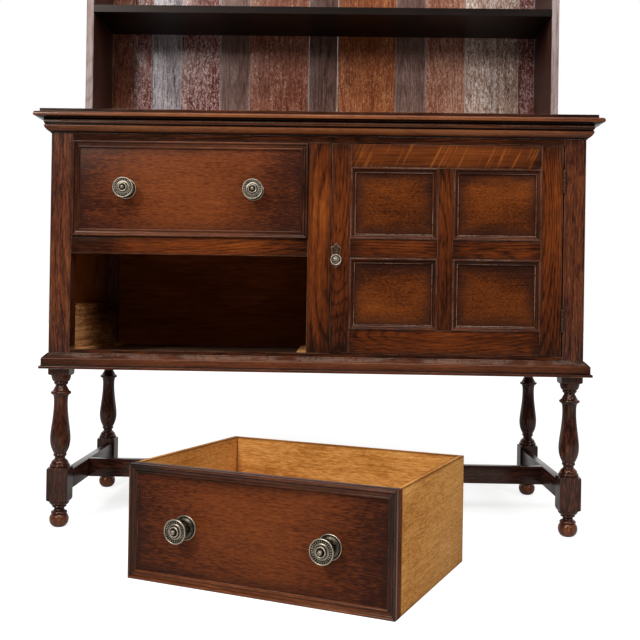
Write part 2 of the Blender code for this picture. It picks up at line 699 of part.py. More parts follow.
def rack_back(material):
    """The rack's back of upright boards, the wide ones proud of the narrow ones, with chamfered edges."""
    half = RACK_INNER - GAP
    seams = -half + 2 * half * np.cumsum(RACK_BOARD_SHARES)[:-1] / sum(RACK_BOARD_SHARES)
    front = RACK_BACK - RACK_BACK_THICKNESS
    outline = [(-half, RACK_BACK), (-half, front)]
    for k, seam in enumerate(seams):
        near = (seam - RACK_BOARD_CHAMFER, front)
        far = (seam, front + RACK_BOARD_STEP)
        if k % 2:
            near, far = (seam, front + RACK_BOARD_STEP), (seam + RACK_BOARD_CHAMFER, front)
        outline += [near, far]
    outline += [(half, front), (half, RACK_BACK)]
    prism("rack_back", outline, "z", BASE_HEIGHT + GAP, RACK_TOP, material)


def rack_head(material):
    """The board that closes the rack, with the cornice round its front and ends."""
    profile = [(out * CORNICE_OUT, RACK_TOP + GAP + s * CORNICE_HEIGHT) for out, s in CORNICE_SHARES]
    edged_board("rack_top", profile, HALF_WIDTH, RACK_FRONT, RACK_BACK, material)


def rack(material):
    """The plate rack on the top board: two sides, two shelves, a boarded back and a moulded top."""
    rack_side("rack_side_left", -1, material)
    rack_side("rack_side_right", 1, material)
    rack_shelf("rack_shelf_lower", SHELF_1, material)
    rack_shelf("rack_shelf_upper", SHELF_2, material)
    rack_back(material)
    rack_head(material)


def field_rings(half_width, bottom, height, back, moulding):
    """Rings in XZ of a board with a mitred moulding on its face; moulding is (inset, y), edge first."""
    rings = []
    for inset, y in [(0.0, back)] + moulding:
        x, low, high = half_width - inset, bottom + inset, bottom + height - inset
        rings.append([(-x, y, low), (x, y, low), (x, y, high), (-x, y, high)])
    return rings


def knob(name, radius, reach, x, y, z, material):
    """A turned knob standing out of a face at y towards -Y."""
    rings = [
        [(u, y - out * reach, v) for u, v in circle(share * radius, KNOB_SIDES, (x, z))]
        for share, out in KNOB_SHARES
    ]
    return loft(name, rings, material, smooth_angle=math.radians(50))


def drawer_front(name, material):
    """The front board with its applied moulding, which stands ahead of the board's face."""
    moulding = [
        (share * DRAWER_MOULDING_WIDTH, -out * DRAWER_MOULDING_OUT) for share, out in DRAWER_MOULDING_SHARES
    ]
    moulding.append((DRAWER_MOULDING_WIDTH, 0.0))
    rings = field_rings(DRAWER_WIDTH / 2, 0.0, DRAWER_HEIGHT, DRAWER_FRONT_THICKNESS, moulding)
    return loft(name, rings, material)


def drawer_side(name, side, material):
    """A drawer side with the groove that holds the bottom."""
    outer = DRAWER_WIDTH / 2
    inner = outer - DRAWER_SIDE_THICKNESS
    low = DRAWER_BOTTOM_RISE - GAP
    high = DRAWER_BOTTOM_RISE + DRAWER_BOTTOM_THICKNESS + GAP
    outline = [
        (outer, 0.0), (outer, DRAWER_HEIGHT), (inner, DRAWER_HEIGHT), (inner, high),
        (inner + DRAWER_GROOVE, high), (inner + DRAWER_GROOVE, low), (inner, low), (inner, 0.0),
    ]
    start = DRAWER_FRONT_THICKNESS + GAP
    return prism(name, [(side * x, z) for x, z in outline], "y", start, DRAWER_DEPTH, material)


def drawer(prefix, own_holder, front_finish, box_finish, metal):
    """A whole drawer, its own origin at the middle of its front's foot, given to its holder."""
    inner = DRAWER_WIDTH / 2 - DRAWER_SIDE_THICKNESS
    bottom_top = DRAWER_BOTTOM_RISE + DRAWER_BOTTOM_THICKNESS
    start = DRAWER_FRONT_THICKNESS + GAP
    rim = inner + DRAWER_GROOVE - GAP
    pieces = [
        drawer_front(prefix + "_front", front_finish),
        drawer_side(prefix + "_side_left", -1, box_finish),
        drawer_side(prefix + "_side_right", 1, box_finish),
        board(
            prefix + "_back",
            (-inner + GAP, DRAWER_DEPTH - DRAWER_SIDE_THICKNESS, bottom_top + GAP),
            (inner - GAP, DRAWER_DEPTH, DRAWER_HEIGHT), box_finish,
        ),
        board(
            prefix + "_bottom", (-rim, start, DRAWER_BOTTOM_RISE), (rim, DRAWER_DEPTH, bottom_top),
            box_finish,
        ),
        knob(
            prefix + "_knob_left", KNOB_RADIUS, KNOB_REACH - GAP, -KNOB_SPREAD / 2, -GAP, KNOB_RISE,
            metal,
        ),
        knob(
            prefix + "_knob_right", KNOB_RADIUS, KNOB_REACH - GAP, KNOB_SPREAD / 2, -GAP, KNOB_RISE,
            metal,
        ),
    ]
    for piece in pieces:
        piece.parent = own_holder


def door_columns():
    """The x spans of the door's two columns of panels, left then right."""
    left = DOOR_LEFT + DOOR_STILE_LEFT
    right = DOOR_RIGHT - DOOR_STILE_RIGHT
    width = (right - left - DOOR_MUNTIN) / 2
    return (left, left + width), (right - width, right)


def door_rows():
    """The z spans of the door's two rows of panels, lower then upper."""
    low = DOOR_BOTTOM + DOOR_BOTTOM_RAIL
    high = DOOR_TOP - DOOR_TOP_RAIL
    height = (high - low - DOOR_MID_RAIL) / 2
    return (low, low + height), (high - height, high)


def door_stile(name, x0, x1, inner, side, material):
    """A door stile, mortised for the rails; side points from the stile towards the rails' tenons."""
    stile = board(name, (x0, FRONT, DOOR_BOTTOM), (x1, FRAME_REAR, DOOR_TOP), material)
    holes = []
    for low, high in (
        (DOOR_BOTTOM, DOOR_BOTTOM + DOOR_BOTTOM_RAIL), (DOOR_TOP - DOOR_TOP_RAIL, DOOR_TOP),
    ):
        holes.append(mortise(inner, side, (FRONT, low), (FRAME_REAR, high), DOOR_TENON_LENGTH))
    combine(stile, hidden_shape(name + "_mortises", holes), "DIFFERENCE")
    return stile


def keyhole_rings(x, z, start, end):
    """Rings along Y of a keyhole: a round head with a narrow slot below it."""
    half = KEYHOLE_SLOT / 2
    turn = math.asin(half / KEYHOLE_RADIUS)
    angles = np.linspace(-math.pi / 2 + turn, 1.5 * math.pi - turn, ROUND_SIDES)
    outline = [(x + KEYHOLE_RADIUS * math.cos(a), z + KEYHOLE_RADIUS * math.sin(a)) for a in angles]
    outline += [(x - half, z - KEYHOLE_DROP), (x + half, z - KEYHOLE_DROP)]
    return [[(u, y, v) for u, v in outline] for y in (start, end)]


def door_frame(material):
    """Two stiles, two rails tenoned into them, and the cross of muntin and mid rails between."""
    (left, left_end), (right_start, right) = door_columns()
    (low, low_end), (high_start, high) = door_rows()
    pieces = [
        door_stile("door_stile_left", DOOR_LEFT, left, left, -1, material),
        door_stile("door_stile_right", right, DOOR_RIGHT, right, 1, material),
    ]
    for name, z0, z1 in (("door_bottom_rail", DOOR_BOTTOM, low), ("door_top_rail", high, DOOR_TOP)):
        rings = rail_rings(
            left + GAP, right - GAP, (FRONT, z0), (FRAME_REAR, z1), DOOR_TENON_LENGTH,
        )
        pieces.append(loft(name, rings, material))
    x = (left + GAP, left_end, right_start, right - GAP)
    z = (low + GAP, low_end, high_start, high - GAP)
    cross = [
        (x[0], z[1]), (x[1], z[1]), (x[1], z[0]), (x[2], z[0]), (x[2], z[1]), (x[3], z[1]),
        (x[3], z[2]), (x[2], z[2]), (x[2], z[3]), (x[1], z[3]), (x[1], z[2]), (x[0], z[2]),
    ]
    pieces.append(prism("door_cross", cross, "y", FRONT, FRAME_REAR, material))
    return pieces


def door_panels(material):
    """Four panels with a mitred moulding round each, proud of the frame at its outer edge."""
    rise = PANEL_RECESS + PANEL_MOULDING_PROUD
    face = FRONT + PANEL_RECESS
    moulding = [
        (share * PANEL_MOULDING_WIDTH, face - out * rise) for share, out in PANEL_MOULDING_SHARES
    ]
    moulding.append((PANEL_MOULDING_WIDTH, face))
    pieces = []
    for row, (low, high) in zip(("lower", "upper"), door_rows()):
        for column, (x0, x1) in zip(("left", "right"), door_columns()):
            middle = (x0 + x1) / 2
            half = (x1 - x0) / 2 - GAP
            rings = field_rings(
                half, low + GAP, high - low - 2 * GAP, FRAME_REAR - PANEL_BACK_INSET, moulding,
            )
            rings = [[(middle + x, y, z) for x, y, z in ring] for ring in rings]
            pieces.append(loft(f"door_panel_{row}_{column}", rings, material))
    return pieces


def door_furniture(stile, metal, iron):
    """Escutcheon, knob and lock case on the left stile, with the keyhole cut into plate and stile."""
    x = DOOR_LEFT + ESCUTCHEON_HALF_WIDTH
    z = (DOOR_BOTTOM + DOOR_TOP) / 2 - ESCUTCHEON_DROP
    half = [(w * ESCUTCHEON_HALF_WIDTH, h * ESCUTCHEON_HALF_HEIGHT) for w, h in ESCUTCHEON_SHARES]
    outline = [(x + w, z + h) for w, h in half] + [(x - w, z + h) for w, h in half[-2:0:-1]]
    face = FRONT - GAP
    plate = prism("escutcheon", outline, "y", face - ESCUTCHEON_THICKNESS, face, metal)
    keyhole = hidden_shape(
        "keyhole",
        [keyhole_rings(x, z + KEYHOLE_RISE, face - ESCUTCHEON_THICKNESS - OVERRUN, FRONT + KEYHOLE_DEPTH)],
    )
    combine(plate, keyhole, "DIFFERENCE")
    combine(stile, keyhole, "DIFFERENCE")
    pull = knob(
        "door_knob", DOOR_KNOB_RADIUS, DOOR_KNOB_REACH, x, face - ESCUTCHEON_THICKNESS - GAP,
        z - DOOR_KNOB_DROP, metal,
    )
    low, high = z + KEYHOLE_RISE - LOCK_HEIGHT / 2, z + KEYHOLE_RISE + LOCK_HEIGHT / 2
    slot = BOLT_HEIGHT / 2 + GAP
    centre = z + KEYHOLE_RISE
    near, inner, far = FRAME_REAR + GAP, FRAME_REAR + BOLT_THICKNESS + 2 * GAP, FRAME_REAR + LOCK_DEPTH
    section = [
        (near, low), (far, low), (far, high), (near, high), (near, centre + slot),
        (inner, centre + slot), (inner, centre - slot), (near, centre - slot),
    ]
    start = DOOR_LEFT + LOCK_EDGE_INSET
    case = prism("lock_case", section, "x", start, start + LOCK_WIDTH, iron)
    bolt = board(
        "lock_bolt", (start, near, centre - BOLT_HEIGHT / 2),
        (start + BOLT_LENGTH, near + BOLT_THICKNESS, centre + BOLT_HEIGHT / 2), metal,
    )
    return [plate, pull, case], bolt


def knuckle_rings(side, bottom, top, tongue_end):
    """A hinge knuckle with the tongue that joins it to its leaf; side is -1 on the door, 1 on the post."""
    near, far = GAP, GAP + HINGE_LEAF_THICKNESS
    start = math.acos(near / KNUCKLE_RADIUS)
    end = math.acos(far / KNUCKLE_RADIUS)
    angles = np.linspace(start, 2 * math.pi + end, ROUND_SIDES)
    outline = [(KNUCKLE_RADIUS * math.cos(a), KNUCKLE_RADIUS * math.sin(a)) for a in angles]
    outline += [(far, tongue_end), (near, tongue_end)]
    return [
        [(HINGE_X + side * x, HINGE_Y + y, z) for x, y in outline] for z in (bottom, top)
    ]


def pin_rings(radius, bottom, top):
    """A round pin or bore on the hinge's axis."""
    ring = circle(radius, ROUND_SIDES, (HINGE_X, HINGE_Y))
    return [[(x, y, z) for x, y in ring] for z in (bottom, top)]


def hinge(name, centre, metal):
    """A butt hinge: the post's leaf carries the pin and every other knuckle, the door's leaf the rest."""
    pitch = HINGE_HEIGHT / KNUCKLE_COUNT
    bottom = centre - HINGE_HEIGHT / 2
    near, far = GAP, GAP + HINGE_LEAF_THICKNESS
    leaf_start = HINGE_Y + KNUCKLE_RADIUS + GAP
    tongue_end = leaf_start - HINGE_Y + HINGE_LEAF_THICKNESS
    made = []
    for side, owner in ((1, "frame"), (-1, "door")):
        x0, x1 = sorted((HINGE_X + side * near, HINGE_X + side * far))
        leaf = board(
            f"{name}_{owner}_leaf", (x0, leaf_start, bottom),
            (x1, leaf_start + HINGE_LEAF_WIDTH, bottom + HINGE_HEIGHT), metal,
        )
        first = 0 if side > 0 else 1
        spans = [
            (bottom + k * pitch + GAP / 2, bottom + (k + 1) * pitch - GAP / 2)
            for k in range(first, KNUCKLE_COUNT, 2)
        ]
        knuckles = [knuckle_rings(side, low, high, tongue_end) for low, high in spans]
        combine(leaf, hidden_shape(f"{name}_{owner}_knuckles", knuckles), "UNION")
        if side > 0:
            pin = pin_rings(PIN_RADIUS, bottom + GAP, bottom + HINGE_HEIGHT - GAP)
            combine(leaf, hidden_shape(name + "_pin", [pin]), "UNION")
        else:
            bore = pin_rings(PIN_RADIUS + PIN_CLEARANCE, bottom - OVERRUN, bottom + HINGE_HEIGHT + OVERRUN)
            combine(leaf, hidden_shape(name + "_bore", [bore]), "DIFFERENCE")
        made.append(leaf)
    return made


def door(material, brass, iron):
    """The door on its hinge pins, and the bolt that slides in its lock."""
    frame = door_frame(material)
    furniture, bolt = door_furniture(frame[0], brass, iron)
    pieces = frame + door_panels(material) + furniture
    for name, centre in (
        ("hinge_upper", DOOR_TOP - HINGE_END_DISTANCE), ("hinge_lower", DOOR_BOTTOM + HINGE_END_DISTANCE),
    ):
        pieces.append(hinge(name, centre, brass)[1])
    hung = holder("door_on_its_pins", (HINGE_X, HINGE_Y, DOOR_BOTTOM))
    hang(pieces, hung)
    for shape in ("door_stile_left_mortises", "door_stile_right_mortises", "keyhole"):
        hang([bpy.data.objects[shape]], hung)
    for name in ("hinge_upper", "hinge_lower"):
        for part in ("_door_knuckles", "_bore"):
            hang([bpy.data.objects[name + part]], hung)
    bolt_holder = holder("bolt_in_its_lock", (0.0, 0.0, 0.0))
    bolt_holder.parent = hung
    bolt_holder.location = -hung.location
    bolt.parent = bolt_holder


def build():
    """The whole dresser."""
    clear_scene()
    oak = finish("stained oak, waxed", "55301c", 0.42)
    raw = finish("oak, unfinished", "b07c45", 0.62)
    brass = finish("antique brass", "8d8368", 0.36, 1.0)
    iron = finish("lock steel", "6b665f", 0.45, 1.0)
    for rear, depth_name in ((False, "front"), (True, "rear")):
        for side, side_name in ((-1, "left"), (1, "right")):
            leg_post(f"post_{depth_name}_{side_name}", side, rear, oak)
    side_stretcher("side_stretcher_left", -1, oak)
    side_stretcher("side_stretcher_right", 1, oak)
    long_stretcher(oak)
    carcass_frame(oak)
    side_panel("side_panel_left", -1, oak)
    side_panel("side_panel_right", 1, oak)
    carcass_inside(oak, raw)
    runner("lower_runner_left", -SIDE_INNER + GAP, -POST_INNER, 1, raw)
    runner("lower_runner_right", PARTITION_LEFT - GAP, STILE_LEFT, -1, raw)
    upper_runners(raw)
    top_and_mouldings(oak)
    rack(oak)
    drawer_x = (STILE_LEFT - POST_INNER) / 2
    home = holder("upper_drawer_home", (drawer_x, FRONT, MID_RAIL_TOP + GAP))
    drawer("upper_drawer", home, oak, raw, brass)
    out = holder("lower_drawer_out", (DRAWER_OUT_X, FRONT - DRAWER_OUT_AHEAD, 0.0), OUT_TURN)
    drawer("lower_drawer", out, oak, raw, brass)
    door(oak, brass, iron)


build()
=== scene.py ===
"""Looks of the oak kitchen dresser: camera, light, floor, and a detailed piece for each part that shows.

Every wooden piece is worked out with numpy and carries its own figure: where a point lies along the
grain, how far it is from the board's edges, how worn the moulding is there and how dark the board is.
Metres, +Z up, the front faces -Y.
"""
import math
import zlib
from functools import partial, reduce

import bpy
import numpy as np
from mathutils import Matrix, Vector


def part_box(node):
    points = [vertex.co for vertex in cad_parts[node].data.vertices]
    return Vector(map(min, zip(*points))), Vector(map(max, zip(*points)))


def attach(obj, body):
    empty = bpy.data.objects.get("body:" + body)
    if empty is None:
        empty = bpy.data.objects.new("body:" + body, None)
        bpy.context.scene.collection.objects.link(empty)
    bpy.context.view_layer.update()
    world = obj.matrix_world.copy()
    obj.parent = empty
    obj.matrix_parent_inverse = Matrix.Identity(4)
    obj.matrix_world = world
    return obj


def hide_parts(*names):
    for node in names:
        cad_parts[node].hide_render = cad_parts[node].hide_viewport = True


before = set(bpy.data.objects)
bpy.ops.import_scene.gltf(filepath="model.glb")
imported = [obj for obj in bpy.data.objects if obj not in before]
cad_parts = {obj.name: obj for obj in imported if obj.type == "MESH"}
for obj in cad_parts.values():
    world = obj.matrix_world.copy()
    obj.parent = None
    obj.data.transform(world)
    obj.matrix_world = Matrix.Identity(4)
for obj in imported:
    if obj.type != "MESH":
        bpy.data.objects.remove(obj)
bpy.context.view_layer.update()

# Sizes that follow the solids
POST_SIZE = 0.046
TENON_LENGTH = 0.0197
STRETCHER_TENON = 0.009
DOOR_TENON = 0.018
UNDERSIDE_HEIGHT = 0.349
FOOT_HEIGHT = 0.0575
LOWER_BLOCK_HEIGHT = 0.074
UPPER_BLOCK_HEIGHT = 0.016
BLOCK_SHOULDER = 0.006
TOP_OVERHANG = 0.032
TOP_THICKNESS = 0.0247
TOP_MOULDING_HEIGHT = 0.0253
TOP_MOULDING_OUT = 0.0135
BASE_MOULDING_HEIGHT = 0.034
BASE_MOULDING_OUT = 0.0162
CORNICE_OUT = 0.034
CORNICE_HEIGHT = 0.050
SIDE_RAIL_HEIGHT = 0.070
SIDE_PANEL_RECESS = 0.007
PLATE_GROOVE_WIDTH = 0.009
PLATE_GROOVE_DEPTH = 0.004
PLATE_GROOVE_BACK = 0.045
DRAWER_FRONT_THICKNESS = 0.018
DRAWER_FRONT_END = 0.001
DRAWER_MOULDING_WIDTH = 0.0165
DRAWER_MOULDING_OUT = 0.0075
DRAWER_SIDE_THICKNESS = 0.0105
DRAWER_OUT_X = -0.087
DRAWER_OUT_AHEAD = 0.440
DRAWER_OUT_TURN = math.radians(-23.4)
KNOB_RADIUS = 0.022
KNOB_REACH = 0.0447
DOOR_KNOB_RADIUS = 0.0125
DOOR_MUNTIN = 0.0325
DOOR_MID_RAIL = 0.0405
PANEL_RECESS = 0.008
PANEL_MOULDING_WIDTH = 0.0125
PANEL_MOULDING_PROUD = 0.003
KEYHOLE_RADIUS = 0.0022
KEYHOLE_HALF_SLOT = 0.0012
KEYHOLE_DROP = 0.0085
KEYHOLE_RISE = 0.012
HINGE_KNUCKLES = 5
KNUCKLE_RADIUS = 0.0032
LEAF_THICKNESS = 0.0012
RACK_BOARD_STEP = 0.003
RACK_OUTER_ROUND = 0.006
RACK_INNER_ROUND = 0.003
GAP = 0.0003

# How the wood is finished, in metres
EASE = 0.0007
FINE_EASE = 0.0004
LEAF_EASE = 0.0002
KNUCKLE_EASE = 0.0005
BACK_BOARD_EASE = 0.0011
NO_EASE = 0.00002
RELIEF_REACH = 0.0022
# Distance to an edge that isn't there, so that no border or rubbed arris is drawn along it
FAR_EDGE = 5.0
NO_EDGES = (FAR_EDGE,) * 3
# Half a post where it is turned, and the lathe's radius where it is square: the other of the two rules
UNLIMITED = 0.2

# Steps between the points of a line, in metres
LEG_STEP = 0.0009
STANDING_STEP = 0.0014
APPLIED_STEP = 0.0012
BOARD_STEP = 0.0015
KNOB_STEP = 0.0007
LOCK_PLATE_STEP = 0.0006

RAY_COLOUR = "94501f"

# Edges that turn by more degrees than this stay crisp
WOOD_CREASE = 38
TURNED_CREASE = 44
BRASS_CREASE = 50

# The photograph's camera, as its corners gave it: pixels, millimetres, then degrees of yaw, pitch and
# roll, and metres right of the dresser's middle, ahead of its front and up
PHOTO_PIXELS = 640
FOCAL_PIXELS = 943
SHIFT_PIXELS = 25
SENSOR_WIDTH = 36
CAMERA_DEGREES = (0.93, 0.15, -0.89)
CAMERA_RIGHT = 0.043
CAMERA_AHEAD = 2.043
CAMERA_HEIGHT = 0.512

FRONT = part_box("door_stile_left")[0].y
HALF_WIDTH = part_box("post_front_right")[1].x

# Turned foot, from the floor up: share of its height, share of half the post, softness of the turn
FOOT_TABLE = (
    (0, 0.4, 0), (0.015, 0.5, 1), (0.06, 0.68, 1), (0.16, 0.855, 1), (0.3, 0.92, 1), (0.41, 0.875, 1),
    (0.485, 0.75, 1), (0.505, 0.67, 0), (0.515, 0.74, 1), (0.56, 0.775, 1), (0.605, 0.72, 1),
    (0.63, 0.56, 0), (0.67, 0.475, 1), (0.71, 0.47, 1), (0.755, 0.56, 1), (0.765, 0.66, 0), (0.8, 0.69, 1),
    (0.82, 0.66, 0), (0.87, 0.83, 1), (0.93, 0.93, 1), (1, 0.93, 0),
)

# Turned baluster between the blocks, from the lower block up
BALUSTER_TABLE = (
    (0, 0.92, 0), (0.014, 0.955, 1), (0.028, 0.93, 1), (0.034, 0.84, 0), (0.04, 0.83, 0),
    (0.056, 0.8, 1), (0.074, 0.67, 1), (0.084, 0.55, 0), (0.09, 0.5, 1), (0.104, 0.48, 1),
    (0.116, 0.52, 0), (0.12, 0.6, 1), (0.131, 0.635, 1), (0.142, 0.6, 1), (0.145, 0.565, 0),
    (0.179, 0.72, 1), (0.22, 0.86, 1), (0.275, 0.95, 1), (0.335, 0.955, 1), (0.41, 0.885, 1),
    (0.49, 0.79, 1), (0.575, 0.7, 1), (0.655, 0.65, 1), (0.735, 0.645, 1), (0.776, 0.7, 1),
    (0.786, 0.76, 0), (0.792, 0.9, 1), (0.806, 0.97, 1), (0.82, 0.94, 1), (0.828, 0.8, 0),
    (0.84, 0.72, 1), (0.862, 0.63, 1), (0.882, 0.52, 1), (0.893, 0.51, 1), (0.9, 0.58, 0),
    (0.906, 0.66, 1), (0.918, 0.68, 1), (0.926, 0.64, 0), (0.934, 0.76, 1), (0.96, 0.88, 1),
    (1, 0.93, 0),
)

# Edge of the top board, from the underside up: share of the overhang, share of the thickness
TOP_EDGE_TABLE = (
    (0.43, 0, 0), (0.45, 0.09, 1), (0.43, 0.13, 0), (0.4, 0.14, 0), (0.46, 0.17, 1), (0.62, 0.205, 1),
    (0.8, 0.25, 1), (0.9, 0.29, 0), (0.93, 0.3, 0), (0.985, 0.33, 1), (1, 0.43, 1), (0.985, 0.57, 1),
    (0.93, 0.65, 1), (0.86, 0.7, 1), (0.7, 0.73, 1), (0.665, 0.75, 0), (0.645, 0.77, 0), (0.645, 1, 0),
)

# Moulding under the top, from its foot up: share of the projection, share of the height
TOP_MOULDING_TABLE = (
    (0.1, 0, 0), (0.12, 0.07, 0), (0.26, 0.1, 1), (0.5, 0.19, 1), (0.76, 0.33, 1), (0.94, 0.47, 1),
    (0.99, 0.58, 1), (0.93, 0.66, 0), (0.84, 0.69, 0), (0.84, 0.76, 0), (0.96, 0.79, 0), (1, 0.84, 1),
    (1, 0.95, 1), (0.96, 1, 0),
)

# Moulding round the foot of the carcass, from its underside up
BASE_MOULDING_TABLE = (
    (0.96, 0, 0), (1, 0.03, 1), (1, 0.15, 1), (0.92, 0.18, 0), (0.77, 0.2, 0), (0.75, 0.23, 1),
    (0.75, 0.64, 0), (0.72, 0.67, 1), (0.48, 0.8, 1), (0.22, 0.92, 1), (0.06, 1, 0),
)

# Cornice, from its foot up
CORNICE_TABLE = (
    (0.1, 0, 0), (0.15, 0.04, 1), (0.15, 0.15, 0), (0.2, 0.19, 0), (0.23, 0.34, 1), (0.4, 0.54, 1),
    (0.62, 0.68, 1), (0.78, 0.74, 0), (0.81, 0.76, 0), (0.81, 0.84, 0), (0.98, 0.87, 1), (1, 0.9, 1),
    (1, 1, 0),
)

# Moulding on a drawer front, from its outer edge in: share of the width, share of the projection
DRAWER_MOULDING_TABLE = (
    (0, 0, 0), (0, 0.66, 0), (0.03, 0.88, 1), (0.13, 1, 1), (0.24, 0.95, 1), (0.3, 0.72, 0),
    (0.34, 0.56, 1), (0.44, 0.46, 1), (0.58, 0.4, 1), (0.7, 0.38, 0), (0.76, 0.5, 1), (0.88, 0.5, 1),
    (0.97, 0.34, 1), (1, 0, 0),
)

# Moulding round a door panel, from its outer edge in: share of the width, share of its rise
PANEL_MOULDING_TABLE = (
    (0, 0, 0), (0, 0.86, 0), (0.05, 0.97, 1), (0.16, 1, 1), (0.3, 0.97, 1), (0.36, 0.82, 0),
    (0.4, 0.66, 1), (0.52, 0.46, 1), (0.66, 0.36, 1), (0.74, 0.33, 0), (0.8, 0.4, 1), (0.9, 0.36, 1),
    (0.98, 0.18, 1), (1, 0, 0),
)

# Knob, from its back plate out: share of the radius, share of the reach
KNOB_TABLE = (
    (0.97, 0, 0), (1, 0.015, 1), (1, 0.045, 1), (0.95, 0.065, 1), (0.9, 0.05, 0),
    (0.84, 0.09, 1), (0.74, 0.135, 1), (0.6, 0.155, 0), (0.5, 0.17, 0), (0.36, 0.24, 1), (0.28, 0.34, 1),
    (0.27, 0.48, 1), (0.34, 0.57, 1), (0.52, 0.63, 0), (0.72, 0.655, 1), (0.92, 0.685, 1),
    (0.985, 0.715, 1), (1, 0.75, 1), (0.985, 0.785, 1), (0.94, 0.8, 1), (0.9, 0.79, 0),
    (0.88, 0.762, 1), (0.76, 0.756, 1), (0.66, 0.76, 0), (0.6, 0.79, 1), (0.5, 0.8, 1), (0.45, 0.805, 0),
    (0.435, 0.845, 1), (0.4, 0.875, 1), (0.34, 0.87, 1), (0.31, 0.845, 0), (0.29, 0.8, 1), (0.25, 0.79, 1),
    (0.205, 0.8, 0), (0.215, 0.87, 1), (0.185, 0.95, 1), (0.1, 0.995, 1), (0.02, 1, 0),
)

# Knob of the door: a smaller turned button on a round rose
DOOR_KNOB_TABLE = (
    (0.9, 0, 0), (1, 0.03, 1), (0.98, 0.1, 1), (0.8, 0.15, 0), (0.62, 0.2, 1), (0.46, 0.3, 1),
    (0.44, 0.44, 1), (0.6, 0.54, 0), (0.88, 0.6, 1), (1, 0.66, 1), (1, 0.76, 1), (0.9, 0.82, 1),
    (0.76, 0.8, 0), (0.7, 0.76, 1), (0.58, 0.77, 0), (0.54, 0.84, 1), (0.46, 0.865, 1), (0.38, 0.84, 0),
    (0.36, 0.86, 0), (0.34, 0.94, 1), (0.2, 0.995, 1), (0.03, 1, 0),
)

# Half outline of the lock plate, from its upper point down: share of half its width, of half its height
LOCK_PLATE_TABLE = (
    (0, 1, 0), (0.16, 0.9, 1), (0.3, 0.82, 1), (0.42, 0.7, 0), (0.72, 0.72, 1), (1, 0.62, 1),
    (0.96, 0.46, 1), (0.74, 0.34, 0), (0.8, 0.1, 1), (0.8, -0.3, 1), (0.74, -0.46, 0), (0.98, -0.58, 1),
    (0.94, -0.72, 1), (0.56, -0.74, 1), (0.34, -0.82, 0), (0.16, -0.92, 1), (0, -1, 0),
)

# Section of the lock plate from its edge over its front to the keyhole: share of the way, of the
# thickness, and how far it is rubbed
LOCK_PLATE_DOME = (
    (0, 0, 0), (0, 0.55, 0.6), (0.03, 0.86, 1), (0.1, 0.97, 0.6), (0.5, 1, -0.3), (0.93, 0.97, 0.2),
    (1, 0.8, 0.6), (1, 0, 0),
)

# Shares of the rack's back that its boards take, the finish of each and how far it is lighter
# The first board's dark finish is painted shade of the rack's side; the right-hand boards' lightness is
# partly a painted reflection of a bright light
RACK_BOARDS = (
    (0.052, "russet", 0.02), (0.0438, "reddish", 0.04), (0.0683, "silvered_sheen", 0.04),
    (0.0941, "reddish", 0.06), (0.0683, "smoky", 0.18), (0.1411, "russet", 0.08),
    (0.0674, "smoky", -0.04), (0.1375, "amber", 0.07), (0.0701, "smoky", 0.14),
    (0.0932, "russet", 0.25), (0.0701, "faded", 0.06), (0.056, "faded", 0), (0.0381, "reddish", -0.06),
)

# How dark the stain has stayed along a piece: share of its length, darker below zero and lighter above
MID_RAIL_TONES = ((0, -0.3), (0.15, -0.22), (0.25, 0.1), (0.8, 0.14), (0.92, -0.12), (1, -0.35))
CENTRE_STILE_TONES = ((0, -0.3), (0.1, -0.15), (0.35, 0.1), (0.65, 0.22), (0.88, 0.02), (1, -0.2))
DOOR_STILE_TONES = ((0, -0.34), (0.15, -0.15), (0.5, -0.02), (0.8, 0.02), (0.92, -0.12), (1, -0.3))
DOOR_RAIL_TONES = ((0, -0.25), (0.06, -0.08), (0.5, 0.05), (0.94, -0.08), (1, -0.3))
SHORT_RAIL_TONES = ((0, -0.3), (0.2, -0.05), (0.8, -0.05), (1, -0.3))
DRAWER_TONES = (
    (0, -0.1), (0.015, -0.22), (0.02, -0.3), (0.12, -0.16), (0.32, 0.02), (0.6, 0.06), (0.78, -0.05),
    (0.9, -0.26), (0.98, -0.28), (0.985, -0.2), (1, -0.18),
)
# The moulding round a drawer front: how light its foot, right, head and left sides are, as painted light
# and shade, and then how that changes along its foot and head
# Upright sides in painted shade; the lower drawer's foot lighter as a painted reflection of the floor
DRAWER_MOULDING_PAINTED_LIGHT = {
    "upper_drawer": (0.06, -0.1, 0.04, -0.1), "lower_drawer": (0.3, -0.24, -0.06, -0.14),
}
DRAWER_MOULDING_TONES = ((0, -0.1), (0.1, 0.08), (0.45, 0.18), (0.75, 0.06), (0.92, -0.22), (1, -0.3))
# Top and bottom rails darker; on the top rail this is painted shade under the top moulding
DARK_RAIL_TONES = ((0, -0.3), (1, -0.25))
STRETCHER_TONES = ((0, -0.34), (0.5, -0.24), (1, -0.3))
# Rack shelves darkened nearly to black: painted shade on their undersides
SHELF_PAINTED_SHADE = -0.7
# The carcass sides are lighter on the inside: painted light on walls that lie in shade
INNER_FACE_PAINTED_LIGHT = 0.65
# How dark it has stayed up a post, by its height in metres: dark turned leg, paler ball foot, russet post
POST_TONES = (
    (0, 0.12), (0.022, 0.14), (0.036, -0.22), (0.06, -0.3), (0.125, -0.3), (0.14, -0.22), (0.34, -0.2),
    (0.36, -0.16), (0.42, -0.12), (0.55, 0.02), (0.7, 0.06), (0.82, -0.05), (0.886, -0.1),
)

# The same over the height of the top's moulded edge, from its foot up: painted shade, nearly black, in its
# undercuts, and painted highlight on its lip and round nose
TOP_EDGE_PAINTED_LIGHT = (
    (0, 0.1), (0.11, 0), (0.14, -1.2), (0.285, -1.2), (0.32, 0.7), (0.42, 0.4), (0.64, 0.35), (0.74, -0.6),
    (0.8, -0.15), (1, -0.1),
)
